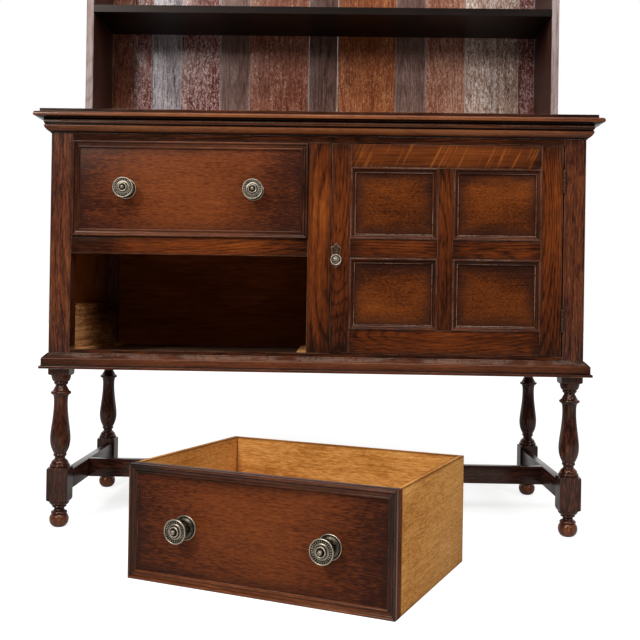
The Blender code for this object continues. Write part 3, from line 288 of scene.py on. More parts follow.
# Top moulding: painted shade at its foot and in its recess, painted highlight on its ovolo
TOP_MOULDING_PAINTED_LIGHT = (
    (0, -1.2), (0.07, -0.9), (0.13, 0.1), (0.28, 0.45), (0.6, 0.55), (0.67, -0.9), (0.77, -0.9), (0.82, 0.1),
    (1, 0.15),
)
# Base moulding: painted shade in the undercut at the foot of its fascia
BASE_MOULDING_PAINTED_SHADE = (
    (0, 0), (0.16, 0.05), (0.2, -0.8), (0.26, 0.05), (0.62, 0.2), (0.68, 0.05), (1, -0.15),
)
# How far the slope on top of that moulding is flecked pale, over its height
BASE_MOULDING_WEAR = ((0, 0), (0.66, 0), (0.72, 0.78), (0.95, 0.78), (1, 0.3))
# How dark the stain has stayed along the front of a moulding, from its left end to its right end
MOULDING_TONES = (
    (0, -0.3), (0.08, -0.18), (0.2, 0.05), (0.45, 0.1), (0.75, 0.06), (0.92, -0.05), (1, -0.2),
)
# The same in from the front edge of a rack side, by its depth in metres
RACK_EDGE_TONES = ((0.001, 0.55), (0.007, 0))


# Shapes

def soften(table, scale, closed=False, steps=5):
    """Points of a moulded line: at each table point the corner is a parabola that starts and ends on the
    two straight lines meeting there, halfway along them where the point is soft and close by where not."""
    rows = np.array(table, float)
    points, soft = rows[:, :2] * scale, rows[:, 2]
    before, after = np.roll(points, 1, axis=0), np.roll(points, -1, axis=0)

    def cut(other):
        length = np.maximum(np.linalg.norm(other - points, axis=1), 1e-9)
        share = np.where(soft > 0.5, 0.5, np.minimum(0.4, FINE_EASE / length))
        return points + (other - points) * share[:, None]

    start, end = cut(before), cut(after)
    t = np.linspace(0, 1, steps)[None, :, None]
    arcs = (1 - t) ** 2 * start[:, None] + 2 * t * (1 - t) * points[:, None] + t ** 2 * end[:, None]
    if closed:
        return arcs.reshape(-1, 2)
    return np.vstack((points[:1], arcs[1:-1].reshape(-1, 2), points[-1:]))


def dense(line, step, closed=False):
    """The same line with points added along it, so that none are further apart than the step."""
    if closed:
        line = np.vstack((line, line[:1]))
    run = np.concatenate(([0.0], np.cumsum(np.linalg.norm(np.diff(line, axis=0), axis=1))))
    where = np.unique(np.round(np.concatenate((run, np.arange(0, run[-1], step))), 7))
    made = np.stack([np.interp(where, run, line[:, k]) for k in (0, 1)], axis=1)
    return made[:-1] if closed else made


def relief(line, closed=True):
    """How far each point of a line stands out of the mean of the points just beside it, from -1 in a
    hollow to 1 on an arris. The line runs so that the wood lies on its left."""
    if closed:
        line = np.vstack((line, line[:1]))
    steps = np.linalg.norm(np.diff(line, axis=0), axis=1)
    run = np.concatenate(([0.0], np.cumsum(steps)))
    period = run[-1] if closed else None
    offsets = np.linspace(-RELIEF_REACH, RELIEF_REACH, 7)
    where = run[:, None] + offsets[None, :]
    if not closed:
        where = np.clip(where, 0, run[-1])
    sampled = [np.interp(where, run, line[:, k], period=period) for k in (0, 1)]
    mean = np.stack([s.mean(axis=1) for s in sampled], axis=1)
    ahead = np.stack([s[:, -1] - s[:, 0] for s in sampled], axis=1)
    ahead /= np.maximum(np.linalg.norm(ahead, axis=1, keepdims=True), 1e-9)
    outward = np.stack((ahead[:, 1], -ahead[:, 0]), axis=1)
    square = 0.28 * RELIEF_REACH  # about what a square arris stands out of that mean
    value = np.clip(((line - mean) * outward).sum(axis=1) / square, -1, 1)
    return value[:-1] if closed else value


def turned_left(line):
    """The same closed line, run so that its inside lies on its left."""
    x, y = line[:, 0], line[:, 1]
    area = (x * np.roll(y, -1) - np.roll(x, -1) * y).sum()
    return line if area > 0 else line[::-1].copy()


def shell(grid, place, half, wear=0.0, tone=0.0, looped=False):
    """One closed surface from a grid of rings: each ring closes on itself, and the first and last are
    closed with a flat face, or joined to each other when the grid is looped."""
    rings, around = grid.shape[:2]
    index = np.arange(rings * around).reshape(rings, around)
    if looped:
        index = np.vstack((index, index[:1]))
    side = np.roll(index, -1, axis=1)
    quads = np.stack((index[:-1], side[:-1], side[1:], index[1:]), axis=-1).reshape(-1, 4)
    caps = [] if looped else [index[0][::-1], index[-1]]
    points = grid.reshape(-1, 3)
    volume = signed_volume(points, quads[:, :3]) + signed_volume(points, quads[:, [0, 2, 3]])
    for cap in caps:
        fan = np.stack((np.full(len(cap) - 2, cap[0]), cap[1:-1], cap[2:]), axis=1)
        volume += signed_volume(points, fan)
    faces = quads.tolist() + [cap.tolist() for cap in caps]
    if volume < 0:
        faces = [face[::-1] for face in faces]
    count = len(points)
    return {
        "points": points,
        "faces": faces,
        "place": np.broadcast_to(place, grid.shape).reshape(-1, 3),
        "half": np.broadcast_to(half, (count, 3)),
        "wear": np.broadcast_to(wear, (rings, around)).reshape(-1),
        "tone": np.broadcast_to(tone, (rings, around)).reshape(-1),
    }


def signed_volume(points, triangles):
    """Six times the volume under triangles, positive where they face outwards."""
    a, b, c = (points[triangles[:, k]] for k in range(3))
    return (a * np.cross(b, c)).sum()


def end_round(ease):
    """A quarter round towards an end, ring by ring: how far it is drawn in, and how far from the end."""
    turn = np.linspace(0, math.pi / 2, 4)
    return ease * (1 - np.sin(turn)), ease * (1 - np.cos(turn))


def plank(low, high, along, ease=EASE, tones=((0.0, 0.0), (1.0, 0.0))):
    """A board with eased arrises: a rectangle with quarter-round corners carried from end to end, and drawn
    in by the same quarter round towards both ends. Tones are shares of its length, each with how much darker
    or lighter it is there, by its stain and on some boards by painted light and shade, joined by straight
    lines."""
    low, high = np.array(low, float), np.array(high, float)
    centre, half = (low + high) / 2, (high - low) / 2
    wide, thick = sorted((k for k in range(3) if k != along), key=lambda k: -half[k])
    angles = np.concatenate([np.linspace(0, math.pi / 2, 4) + k * math.pi / 2 for k in range(4)])
    signs = np.repeat(((1, 1), (-1, 1), (-1, -1), (1, -1)), 4, axis=0)
    drawn_in, from_end = end_round(ease)
    shares, tone_values = np.array(tones).T
    between = (shares[1:-1] * 2 - 1) * half[along]
    inset = np.concatenate((drawn_in, 0 * between, drawn_in[::-1]))[:, None]
    station = np.concatenate((from_end - half[along], between, half[along] - from_end[::-1]))[:, None]
    radius = np.maximum(ease - inset, 0.05 * ease)
    stain = np.interp(station, shares * 2 * half[along] - half[along], tone_values)
    place = np.empty((len(station), len(angles), 3))
    place[..., 0] = station
    place[..., 1] = signs[:, 0] * (half[wide] - inset - radius) + radius * np.cos(angles)
    place[..., 2] = signs[:, 1] * (half[thick] - inset - radius) + radius * np.sin(angles)
    grid = np.empty_like(place)
    grid[..., [along, wide, thick]] = place
    return shell(grid + centre, place, half[[along, wide, thick]], tone=stain)


def run(start, ahead, out, up, length, section, mitres=(0, 0), tone=0.0, place_from=None, tones=None):
    """A moulding: a closed section (out, up) carried straight ahead from the start. At each end the
    section slides along by its own out distance, inwards for a mitre of 1 and outwards for -1. Tones
    are shares of its length with how much darker or lighter the stain is there, on top of the tone."""
    start, ahead, out, up = (np.array(v, float) for v in (start, ahead, out, up))
    section = turned_left(section)
    u, w = section[:, 0], section[:, 1]
    shares, tone_values = np.array(tones or ((0.0, 0.0), (1.0, 0.0))).T[..., None]
    along = (1 - shares) * mitres[0] * u + shares * (length - mitres[1] * u)
    grid = start + along[..., None] * ahead + u[:, None] * out + w[:, None] * up
    if place_from is None:
        place = np.stack(np.broadcast_arrays(along - length / 2, u, w), axis=-1)
    else:
        place = grid - np.array(place_from, float)
    half = (length / 2, FAR_EDGE, FAR_EDGE)
    # On the top's moulded edge the tone given on top is painted light and shade
    stain = tone_values + (tone(u, w) if callable(tone) else tone)
    return shell(grid, place, half, wear=relief(section)[None, :], tone=stain)


def three_sides(section, low, high, place_from=None, tone=0.0):
    """A moulding mitred round the left, the front and the right of a box on the ground plan."""
    (x0, y0), (x1, y1) = low, high
    return [
        run(start, ahead, out, (0, 0, 1), length, section, mitres, tone, place_from, tones)
        for start, ahead, out, length, mitres, tones in (
            ((x0, y1, 0), (0, -1, 0), (-1, 0, 0), y1 - y0, (0, -1), None),
            ((x0, y0, 0), (1, 0, 0), (0, -1, 0), x1 - x0, (-1, -1), MOULDING_TONES),
            ((x1, y0, 0), (0, 1, 0), (1, 0, 0), y1 - y0, (-1, 0), None),
        )
    ]


def by_height(tones, bottom, height):
    """The tone, painted light and shade among it, or the wear of a moulding at a point of its section, from
    a table of shares of its height.
    """
    shares, tone_values = np.array(tones).T
    return lambda out, up: np.interp((up - bottom) / height, shares, tone_values)


def four_sides(section, low, high, face, sides=(0.0, 0.0, 0.0, 0.0), tones=None):
    """A moulding mitred round the inside of a rectangle in XZ; it stands out of the face towards -Y.
    Sides are the tone of its foot, right, head and left, painted light and shade on a drawer's moulding;
    tones go along the foot and back along the head."""
    (x0, z0), (x1, z1) = low, high
    lengths = (x1 - x0, z1 - z0)
    ways = ((1, 0, 0), (0, 0, 1), (-1, 0, 0), (0, 0, -1))
    return [
        run((x, face, z), ways[k], ways[(k + 1) % 4], (0, -1, 0), lengths[k % 2], section, (1, 1), sides[k],
            tones=None if k % 2 else tones)
        for k, (x, z) in enumerate(((x0, z0), (x1, z0), (x1, z1), (x0, z1)))
    ]


def applied(table, width, rise):
    """Closed section of a moulding laid on a face, from its table of shares."""
    return dense(soften(table, (width, rise), closed=True, steps=4), APPLIED_STEP, closed=True)


def standing(table, projection, height, bottom):
    """Closed section of a moulding against upright wood: its face, and a straight back at zero."""
    face = soften(table, (projection, height), steps=4) + (GAP, bottom)
    back = np.array(((GAP, bottom + height), (GAP, bottom)))
    return dense(np.vstack((face, back)), STANDING_STEP, closed=True)


def leg_profile():
    """Height, half of the square and radius that the lathe leaves, ring by ring from the floor up."""
    half = POST_SIZE / 2
    lower = FOOT_HEIGHT + LOWER_BLOCK_HEIGHT
    upper = UNDERSIDE_HEIGHT - UPPER_BLOCK_HEIGHT
    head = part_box("post_front_left")[1].z
    stretches = []
    for table, bottom, height in ((FOOT_TABLE, 0.0, FOOT_HEIGHT), (BALUSTER_TABLE, lower, upper - lower)):
        line = dense(soften(table, (height, half)), LEG_STEP)
        stretches.append(np.column_stack((line[:, 0] + bottom, np.full(len(line), UNLIMITED), line[:, 1])))
    turn = np.linspace(0, math.pi / 2, 7)
    rise, limit = BLOCK_SHOULDER * (1 - np.cos(turn)), half * (0.95 + 0.48 * np.sin(turn))
    square = np.full(len(turn), half)
    foot = np.column_stack((FOOT_HEIGHT + rise, square, limit))
    top = np.column_stack((lower - rise[::-1], square, limit[::-1]))
    head_foot = np.column_stack((upper + rise, square, limit))
    rises = np.append(np.linspace(UNDERSIDE_HEIGHT + 0.01, head - EASE, 12), head)
    halves = np.full(len(rises), half)
    halves[-1] -= EASE
    post_above = np.column_stack((rises, halves, np.full(len(rises), UNLIMITED)))
    return np.vstack((stretches[0], foot, top, stretches[1], head_foot, post_above))


def post_angles():
    """Angles round a post, crowded at its four arrises, whose ease they draw."""
    offsets = np.array((0, 0.9, 2.0, 3.6, 7, 13, 20, 28, 36.5))
    quarter = np.concatenate((-offsets[:0:-1], offsets, (45.0,)))
    return np.radians(np.concatenate([quarter + 45 + 90 * k for k in range(4)]))


def swung(centre, radius, angles, along, axis):
    """Rings of points about a centre: across the axis the centre plus the radius times the angle's cosine
    and sine, and along the axis the places given."""
    grid = np.empty((*np.broadcast_shapes(radius.shape, angles.shape), 3))
    grid[..., 0] = centre[0] + radius * np.cos(angles)
    grid[..., 3 - axis] = centre[3 - axis] + radius * np.sin(angles)
    grid[..., axis] = along
    return grid


def post(node):
    """A leg and post in one. The radius at an angle is the smaller of a square with eased corners and
    the circle that the lathe left: for the square, half its width over the p-norm of cosine and sine."""
    low, high = corners(node)
    x, y, _ = (low + high) / 2
    height, square, limit = leg_profile().T
    angles = post_angles()
    power = 40
    norm = (np.abs(np.cos(angles)) ** power + np.abs(np.sin(angles)) ** power) ** (1 / power)
    radius = np.minimum(square[:, None] / norm, limit[:, None])
    grid = swung((x, y), radius, angles, height[:, None], 2)
    place = np.stack((grid[..., 2] - high[2] / 2, grid[..., 0] - x, grid[..., 1] - y), axis=-1)
    turned = np.where(limit < UNLIMITED, relief(np.column_stack((limit, height)), closed=False), 0.0)
    turned = np.where(square < UNLIMITED, 0.0, turned)
    blocks = np.where(square < UNLIMITED, POST_SIZE / 2, FAR_EDGE)
    stain = np.interp(height, *np.array(POST_TONES).T)
    spread = np.broadcast_to(blocks[:, None], radius.shape).reshape(-1)
    half = np.column_stack((np.full(len(spread), high[2]), spread, spread))
    return shell(grid, place, half, wear=turned[:, None], tone=stain[:, None])


def lathe(table, radius, reach, centre, sides, beads, bead_ring, bead_height):
    """A turned knob that stands out towards -Y: its line of radius and reach is swung round the centre.
    Beads lift a ring of it by a raised cosine of the angle, faded out at the ring's two edges. The neck
    behind the button is left dark, where no hand rubs it."""
    line = dense(soften(table, (radius, reach)), KNOB_STEP)
    angles = 2 * math.pi * np.arange(sides) / sides
    r, out = line[:, :1], line[:, 1:]
    middle, spread = sum(bead_ring) / 2 * radius, (bead_ring[1] - bead_ring[0]) / 2 * radius
    ring = np.clip(1 - ((r - middle) / spread) ** 2, 0, 1) * (out > 0.7 * reach)
    swell = bead_height * ring * (0.5 + 0.5 * np.cos(beads * angles))
    grid = swung(centre, r, angles, centre[1] - out - swell, 1)
    neck = (r < 0.93 * radius) & (out < 0.66 * reach)
    worn = relief(line, closed=False)[:, None] - 0.75 * neck
    worn = worn + ring * (0.9 * np.cos(beads * angles) - 0.35)
    return shell(grid, grid - centre, NO_EDGES, wear=np.clip(worn, -1, 1))


def knuckle(axis, bottom, top, sides=28):
    """A hinge's knuckle: a short upright cylinder with rounded ends, rubbed bright there."""
    drawn_in, rise = end_round(KNUCKLE_EASE)
    radius = KNUCKLE_RADIUS - np.concatenate((drawn_in, drawn_in[::-1]))
    height = np.concatenate((bottom + rise, top - rise[::-1]))
    angles = 2 * math.pi * np.arange(sides) / sides
    grid = swung(axis, radius[:, None], angles, height[:, None], 2)
    worn = np.where(radius < KNUCKLE_RADIUS - KNUCKLE_EASE / 2, 1.0, 0.0)[:, None]
    return shell(grid, grid - (*axis, bottom), NO_EDGES, wear=worn)


def lock_plate(node):
    """The lock's plate: at each angle about the keyhole a line runs from the plate's outline to the
    keyhole's edge, over the front with a slight dome, and back along the rear face."""
    low, high = corners(node)
    centre = np.array(((low[0] + high[0]) / 2, 0, (low[2] + high[2]) / 2 + KEYHOLE_RISE))
    right = dense(soften(LOCK_PLATE_TABLE, (high - low)[::2] / 2, steps=6), LOCK_PLATE_STEP)
    outline = np.vstack((right, right[-2:0:-1] * (-1, 1))) - (0, KEYHOLE_RISE)
    angle = np.arctan2(outline[:, 1], outline[:, 0])
    order = np.argsort(angle)
    angles = np.linspace(-math.pi, math.pi, 160, endpoint=False)
    edge = np.interp(angles, angle[order], np.linalg.norm(outline, axis=1)[order], period=2 * math.pi)
    below = np.minimum(
        KEYHOLE_HALF_SLOT / np.maximum(np.abs(np.cos(angles)), 1e-6),
        KEYHOLE_DROP / np.maximum(np.abs(np.sin(angles)), 1e-6),
    )
    hole = np.maximum(KEYHOLE_RADIUS, np.where(np.sin(angles) < 0, below, 0))
    share, depth, worn = np.array(LOCK_PLATE_DOME).T[..., None]
    reach = edge + (hole - edge) * share
    grid = swung(centre, reach, angles, high[1] - depth * (high[1] - low[1]), 1)
    return shell(grid, grid - centre, NO_EDGES, wear=worn, looped=True)


def corners(node, trim=(0, 0, 0), trim_end=None):
    """A node's lowest and highest corners, drawn in by its tenons at the low end and the high end."""
    low, high = np.array(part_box(node))
    return np.array((low + trim, high - (trim if trim_end is None else trim_end)))


def placed(name, data):
    """A new object in the scene, at the origin."""
    made = bpy.data.objects.new(name, data)
    bpy.context.scene.collection.objects.link(made)
    return made


def piece(name, shells, materials, body, nodes, slot, move=None, sharp=WOOD_CREASE, finish_of=None):
    """One object from its shells, with the figure that its material reads: place, half and shift for
    the grain, wear for arrises and hollows, tone for a darker or lighter stretch."""
    offsets = np.cumsum([0] + [len(s["points"]) for s in shells])
    points = np.vstack([s["points"] for s in shells])
    faces = [[i + int(o) for i in face] for s, o in zip(shells, offsets) for face in s["faces"]]
    mesh = bpy.data.meshes.new(name)
    mesh.from_pydata(points.tolist(), [], faces)
    if move is not None:
        mesh.transform(move)
    shifts = []
    for k, s in enumerate(shells):
        drawn = np.random.default_rng(zlib.crc32(f"{name} {k}".encode())).uniform(-9, 9, 3)
        shifts.append(np.broadcast_to(drawn, (len(s["points"]), 3)))
    figure = {key: [s[key] for s in shells] for key in ("place", "half", "wear", "tone")} | {"shift": shifts}
    for key in ("place", "half", "shift"):
        attribute = mesh.attributes.new(key, "FLOAT_VECTOR", "POINT")
        attribute.data.foreach_set("vector", np.vstack(figure[key]).astype(np.float32).ravel())
    for key in ("wear", "tone"):
        attribute = mesh.attributes.new(key, "FLOAT", "POINT")
        attribute.data.foreach_set("value", np.concatenate(figure[key]).astype(np.float32))
    mesh.shade_smooth()
    mesh.set_sharp_from_angle(angle=math.radians(sharp))
    for material in materials if isinstance(materials, list) else [materials]:
        mesh.materials.append(material)
    if finish_of is not None:
        slots = np.concatenate([np.full(len(s["faces"]), f) for s, f in zip(shells, finish_of)])
        mesh.polygons.foreach_set("material_index", slots.astype(np.int32))
    mesh.update()
    made = placed(name, mesh)
    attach(made, body)
    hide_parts(*nodes)


def dress(node, shells, finish, body="carcass", slot="oak_stained", **how):
    """The piece that stands for one node, named for its stuff and that node."""
    piece(f"{slot.split('_')[0]}_{node}", shells, finish, body, [node], slot, **how)


# Finishes

def linear(hex_colour):
    """An sRGB hex colour as linear red, green, blue and alpha."""
    channels = [int(hex_colour[i:i + 2], 16) / 255 for i in (0, 2, 4)]
    return (*[c / 12.92 if c <= 0.04045 else ((c + 0.055) / 1.055) ** 2.4 for c in channels], 1.0)


def fill(node, sockets):
    """Link each of a node's sockets to another node's result, or set its value."""
    for key, value in sockets.items():
        if isinstance(value, bpy.types.NodeSocket):
            node.id_data.links.new(value, node.inputs[key])
        else:
            node.inputs[key].default_value = value


def add(tree, kind, sockets=None, stops=None, **settings):
    """Add a node with its settings and sockets; stops are a ramp's places and colours."""
    made = tree.nodes.new(kind)
    for key, value in settings.items():
        setattr(made, key, value)
    fill(made, sockets or {})
    if stops:
        elements = made.color_ramp.elements
        while len(elements) < len(stops):
            elements.new(0.5)
        for element, (position, colour) in zip(elements, stops):
            element.position = position
            element.color = linear(colour)
    return made


def reckon(tree, operation, *values, kind="ShaderNodeMath"):
    """The first result of a Math or Vector Math node on these values and links."""
    return add(tree, kind, dict(enumerate(values)), operation=operation).outputs[0]


def new_material(name):
    """An empty material with a Principled surface, its tree and its shader."""
    material = bpy.data.materials.new(name)
    material.use_nodes = True
    tree = material.node_tree
    return material, tree, tree.nodes["Principled BSDF"]


def oak(name, colours, at=(0, 0.28, 0.52, 0.76, 1), streak=0.55, rings=0.0, clouds=0.35, border=0.0,
        border_width=0.05, border_colour="241512", dashes=0.0, dash_scale=(62, 250, 250), crackle=0.0,
        rays=0.0, wear_and_highlight_colour="7a5638", wear=0.5, arris_width=0.0015, dirt_colour="0c0302",
        roughness=0.30, specular=0.12, tint="ffd8b4", object_axis=None, painted_shade_in=None, painted_shade_up=None,
        pore=0.12, sheen_spread=0.14):
    """Oak that reads its own figure. The tone at a point is a sum of long streaks, the growth rings'
    nested ovals and the stain's clouds, and a ramp turns it to a colour between the dark and the light.
    The darker border, the pale arrises (rubbed wear and painted highlight) and the dirt in the hollows are
    laid over that."""
    material, tree, shader = new_material(name)
    maths, vector = partial(reckon, tree), partial(reckon, tree, kind="ShaderNodeVectorMath")

    def plus(*values):
        return reduce(partial(maths, "ADD"), values)

    def times(*values):
        return reduce(partial(maths, "MULTIPLY"), values)

    def noise(scale, detail=2.0, rough=0.5, bent=0.0, turned=None):
        stretched = vector("MULTIPLY", figure if turned is None else turned, scale)
        sockets = {"Vector": stretched, "Scale": 1.0, "Detail": detail, "Roughness": rough}
        return add(tree, "ShaderNodeTexNoise", sockets | {"Distortion": bent}).outputs["Fac"]

    def graded(value, low, high, to_low=0.0, to_high=1.0):
        sockets = {0: value, 1: low, 2: high, 3: to_low, 4: to_high}
        return add(tree, "ShaderNodeMapRange", sockets, interpolation_type="SMOOTHSTEP").outputs[0]

    def mixed(mask, below, above):
        sockets = {0: mask, 6: below, 7: linear(above)}
        return add(tree, "ShaderNodeMix", sockets, data_type="RGBA").outputs[2]

    def swing(value, amount):
        return times(maths("SUBTRACT", value, 0.5), amount)

    def split(value):
        return add(tree, "ShaderNodeSeparateXYZ", {0: value}).outputs

    figured = object_axis is None
    if figured:
        keys = ("place", "half", "shift", "wear", "tone")
        read = [add(tree, "ShaderNodeAttribute", attribute_name=key).outputs for key in keys]
        place, half, shift = (outputs["Vector"] for outputs in read[:3])
        worn, tone = (outputs["Fac"] for outputs in read[3:])
        figure = vector("ADD", place, shift)
        distance = split(vector("SUBTRACT", half, vector("ABSOLUTE", place)))
        lesser, greater = (maths(choice, distance[0], distance[1]) for choice in ("MINIMUM", "MAXIMUM"))
        edge = maths("MAXIMUM", lesser, maths("MINIMUM", greater, distance[2]))
    else:
        place = add(tree, "ShaderNodeTexCoord").outputs["Object"]
        turn = (0.0, 0.0, math.pi / 2 if object_axis == "y" else 0.0)
        figure = add(tree, "ShaderNodeMapping", {"Vector": place, "Rotation": turn}).outputs[0]

    # Streaks 9 mm wide and a third of a metre long, and finer ones of 4 mm and less among them
    broad = noise((3.2, 110, 110), 2.0, 0.55)
    fine = noise((15, 250, 250), 3.0, 0.62)
    stain = noise((5.0, 11.0, 11.0), 3.0, 0.55)
    parts = [swing(fine, streak * 1.6), 0.5, swing(broad, streak * 0.8), swing(stain, clouds * 1.6)]
    if rings:
        # Growth rings: lines of equal height of a long low wave, thin and dark, about 7 mm apart
        wave = noise((1.2, 8.0, 8.0), 1.0, 0.4)
        turn = maths("MULTIPLY_ADD", wave, 240.0, times(fine, 5.0))
        line = maths("POWER", maths("MULTIPLY_ADD", maths("SINE", turn), 0.5, 0.5), 5.0)
        parts += [times(line, graded(stain, 0.38, 0.56, 0.35, 1.0), -rings), rings * 0.16]
    if dashes:
        # Silver grain cut aslant: short dashes, by default 4 by 16 mm, lighter than the wood around them
        parts.append(swing(noise(dash_scale, 2.0, 0.6), dashes * 2.0))
    if crackle:
        # Silver grain cut flat: wriggling pale lines 2 mm wide, 8 to 15 mm apart
        wriggle = noise((60, 115, 115), 2.0, 0.5, 1.2)
        ridge = graded(maths("ABSOLUTE", maths("SUBTRACT", wriggle, 0.5)), 0.0, 0.06, 1.0, 0.0)
        parts.append(times(ridge, graded(noise((9, 22, 22)), 0.30, 0.52), crackle))
    # The piece's own tone: its stain, and on some pieces painted light and shade
    if figured:
        parts.append(times(tone, 0.8))
    if painted_shade_in:
        # Painted shade: darker further in from the front
        reach, amount = painted_shade_in
        parts.append(times(graded(split(place)[1], FRONT, FRONT + reach), -amount))
    if painted_shade_up:
        # Painted shade: darker towards the top
        bottom, top, amount = painted_shade_up
        parts.append(times(graded(split(place)[2], bottom, top), -amount))
    stops = list(zip(at, colours.split()))
    colour = add(tree, "ShaderNodeValToRGB", {0: plus(*parts)}, stops=stops).outputs[0]
    if border:
        ragged = plus(swing(stain, border_width * 0.8), edge)
        colour = mixed(graded(ragged, 0.0, border_width, border, 0.0), colour, border_colour)
    if rays:
        # Medullary rays: pale slanting lines, 2 to 4 mm wide and 6 to 15 mm apart
        slanted = add(tree, "ShaderNodeMapping", {"Vector": figure, "Rotation": (0, 0, 0.45)}).outputs[0]
        bands = noise((170, 6, 6), 2.0, 0.6, 0.2, slanted)
        patches = graded(noise((9, 30, 30)), 0.30, 0.60)
        colour = mixed(times(graded(bands, 0.53, 0.64), patches, rays), colour, RAY_COLOUR)
    if figured:
        # Arrises rubbed pale and painted as highlights, in runs of 60 to 200 mm, broken up every few
        # millimetres
        long_runs = graded(noise((11, 30, 30), 2.0, 0.6), 0.36, 0.56)
        breaks = graded(noise((170, 170, 170), 2.0, 0.65), 0.32, 0.50)
        arris = graded(edge, 0.0002, arris_width, 1.0, 0.0)
        rubbed = maths("MAXIMUM", arris, graded(worn, 0.66, 1.0))
        colour = mixed(times(rubbed, long_runs, breaks, wear), colour, wear_and_highlight_colour)
        # Dirt and old wax in the hollows
        colour = mixed(times(graded(worn, -0.10, -0.75), 0.92), colour, dirt_colour)
    gloss = plus(swing(stain, sheen_spread), roughness, swing(fine, 0.16))
    # Open pores, drawn 3 mm wide and 20 mm long because the real 0.2 mm ones are too fine to show
    height = plus(times(noise((50, 380, 380), 2.0, 0.6), 0.7), times(broad, 0.5))
    if crackle:
        height = plus(height, times(ridge, 0.6))
    bump = add(tree, "ShaderNodeBump", {"Strength": pore, "Distance": 0.0008, "Height": height}).outputs[0]
    fill(shader, {"Base Color": colour, "Roughness": gloss, "Normal": bump, "Specular IOR Level": specular,
                  "Specular Tint": linear(tint)})
    return material


def aged_metal(name, bright, dull, dark, roughness):
    """Cast and turned metal: bright where hands rub it, dull between, and nearly black in the hollows."""
    material, tree, shader = new_material(name)
    worn = add(tree, "ShaderNodeAttribute", attribute_name="wear").outputs["Fac"]
    place = add(tree, "ShaderNodeTexCoord").outputs["Object"]
    # Tarnish in clouds of 3 to 6 mm with specks of 1 mm
    sockets = {"Vector": place, "Scale": 240.0, "Detail": 3.0, "Roughness": 0.6}
    cloud = add(tree, "ShaderNodeTexNoise", sockets).outputs["Fac"]
    rub = reckon(tree, "MULTIPLY_ADD", worn, 0.42, 0.28)
    total = reckon(tree, "MULTIPLY_ADD", cloud, 0.55, rub)
    stops = ((0.18, dark), (0.52, dull), (0.92, bright))
    colour = add(tree, "ShaderNodeValToRGB", {0: total}, stops=stops).outputs[0]
    ruffled = reckon(tree, "MULTIPLY_ADD", cloud, 0.30, roughness - 0.15)
    bump = add(tree, "ShaderNodeBump", {"Strength": 0.25, "Distance": 0.0002, "Height": cloud}).outputs[0]
    fill(shader, {"Base Color": colour, "Roughness": ruffled, "Normal": bump, "Metallic": 1.0})
    return material


# Stained oak of the frame: warm russet where the light has worn the stain, nearly black at the joints
FRAME_OAK = oak(
    "stained oak, framing, waxed", "0f0402 2f140a 57270f 753915 94531f",
    streak=0.36, rings=0.26, border=0.40, border_width=0.008, dashes=0.34, dash_scale=(48, 430, 430),
    wear_and_highlight_colour="8a6048",
)

# Posts and turned legs: a redder stain under thicker wax, with a crisp shine on the turnings
POST_OAK = oak(
    "stained oak, turned and squared posts, waxed", "0e0503 2c1510 532a19 6f3d20 8d5a34",
    streak=0.46, rings=0.18, border=0.36, border_width=0.009, dashes=0.44, dash_scale=(60, 420, 420),
    wear_and_highlight_colour="8f6a56", roughness=0.20, specular=0.36, tint="ffeadc", sheen_spread=0.08,
)

# Quarter-sawn oak of the door's top rail: pale slanting rays over the russet
RAY_OAK = oak(
    "stained oak, quarter sawn, waxed", "120603 32170b 572911 6f3816 87501f",
    streak=0.42, border=0.45, border_width=0.012, rays=0.62, wear_and_highlight_colour="8a6048",
)

# Drawer fronts: one wide board, golden brown in the middle and dark towards the moulding
DRAWER_OAK = oak(
    "stained oak, drawer front, waxed", "160905 3a1a10 673218 7c421e 935629",
    streak=0.14, clouds=0.20, border=0.60, border_width=0.042, dashes=0.40,
    dash_scale=(80, 480, 480), roughness=0.34, specular=0.10, tint="ffe4d0",
)

# End grain of the drawer fronts: dull brown, with no wax on it
END_OAK = oak(
    "stained oak, end grain", "1c0d08 3c2015 5e3524 784a34 8e6048",
    streak=0.20, dashes=0.40, dash_scale=(300, 430, 430), roughness=0.85, specular=0.0,
)

# Door panels: figured oak, lighter in the middle, with wax and dust dark round the moulding
PANEL_OAK = oak(
    "stained oak, door panel, waxed", "110502 30150a 5b2b10 753b16 915320",
    streak=0.16, clouds=0.50, border=0.85, border_width=0.046, dashes=0.44,
    dash_scale=(170, 430, 430), specular=0.10,
)

# Mouldings: darker stain, rubbed to pale lines on every arris, which also serve as painted highlights
MOULDING_OAK = oak(
    "stained oak, moulding, rubbed", "0a0302 241009 472212 63341c 824c2a",
    streak=0.34, dashes=0.24, dash_scale=(60, 400, 400), wear_and_highlight_colour="b29684", wear=0.70,
    roughness=0.22, specular=0.26, tint="ffe8d6",
)

# Inside of the carcass: the same oak, unpolished and brown with age
INSIDE_OAK = oak(
    "stained oak, unpolished inside", "3a180a 5a2a10 773c18 8c4c22 9c5c2c", (0, 0.30, 0.55, 0.80, 1),
    clouds=0.5, rings=0.10, roughness=0.75, specular=0.06, object_axis="x",
)

# Floor of the carcass: dusty and rubbed by the drawer, painted pale as light on its front edge, and
# darker further in as painted shade
FLOOR_OAK = oak(
    "oak floor board, dusty, painted light and shade", "3a2418 6e5644 9c8672 b8a492 c8b6a4", (0, 0.30, 0.50, 0.80, 1),
    clouds=0.4, rings=0.10, roughness=0.60, object_axis="x", painted_shade_in=(0.42, 0.40),
)

# Unstained oak of the drawer boxes: honey coloured, dry, with fine straight grain
BOX_OAK = oak(
    "unstained oak, drawer box", "85501f a86c2e c98c48 daa25e ebba7a",
    streak=0.34, clouds=0.46, border=0.95, border_width=0.005, border_colour="70421b",
    dashes=0.50, dash_scale=(70, 430, 430), wear=0.0, dirt_colour="6b4420", roughness=0.60, specular=0.04,
)


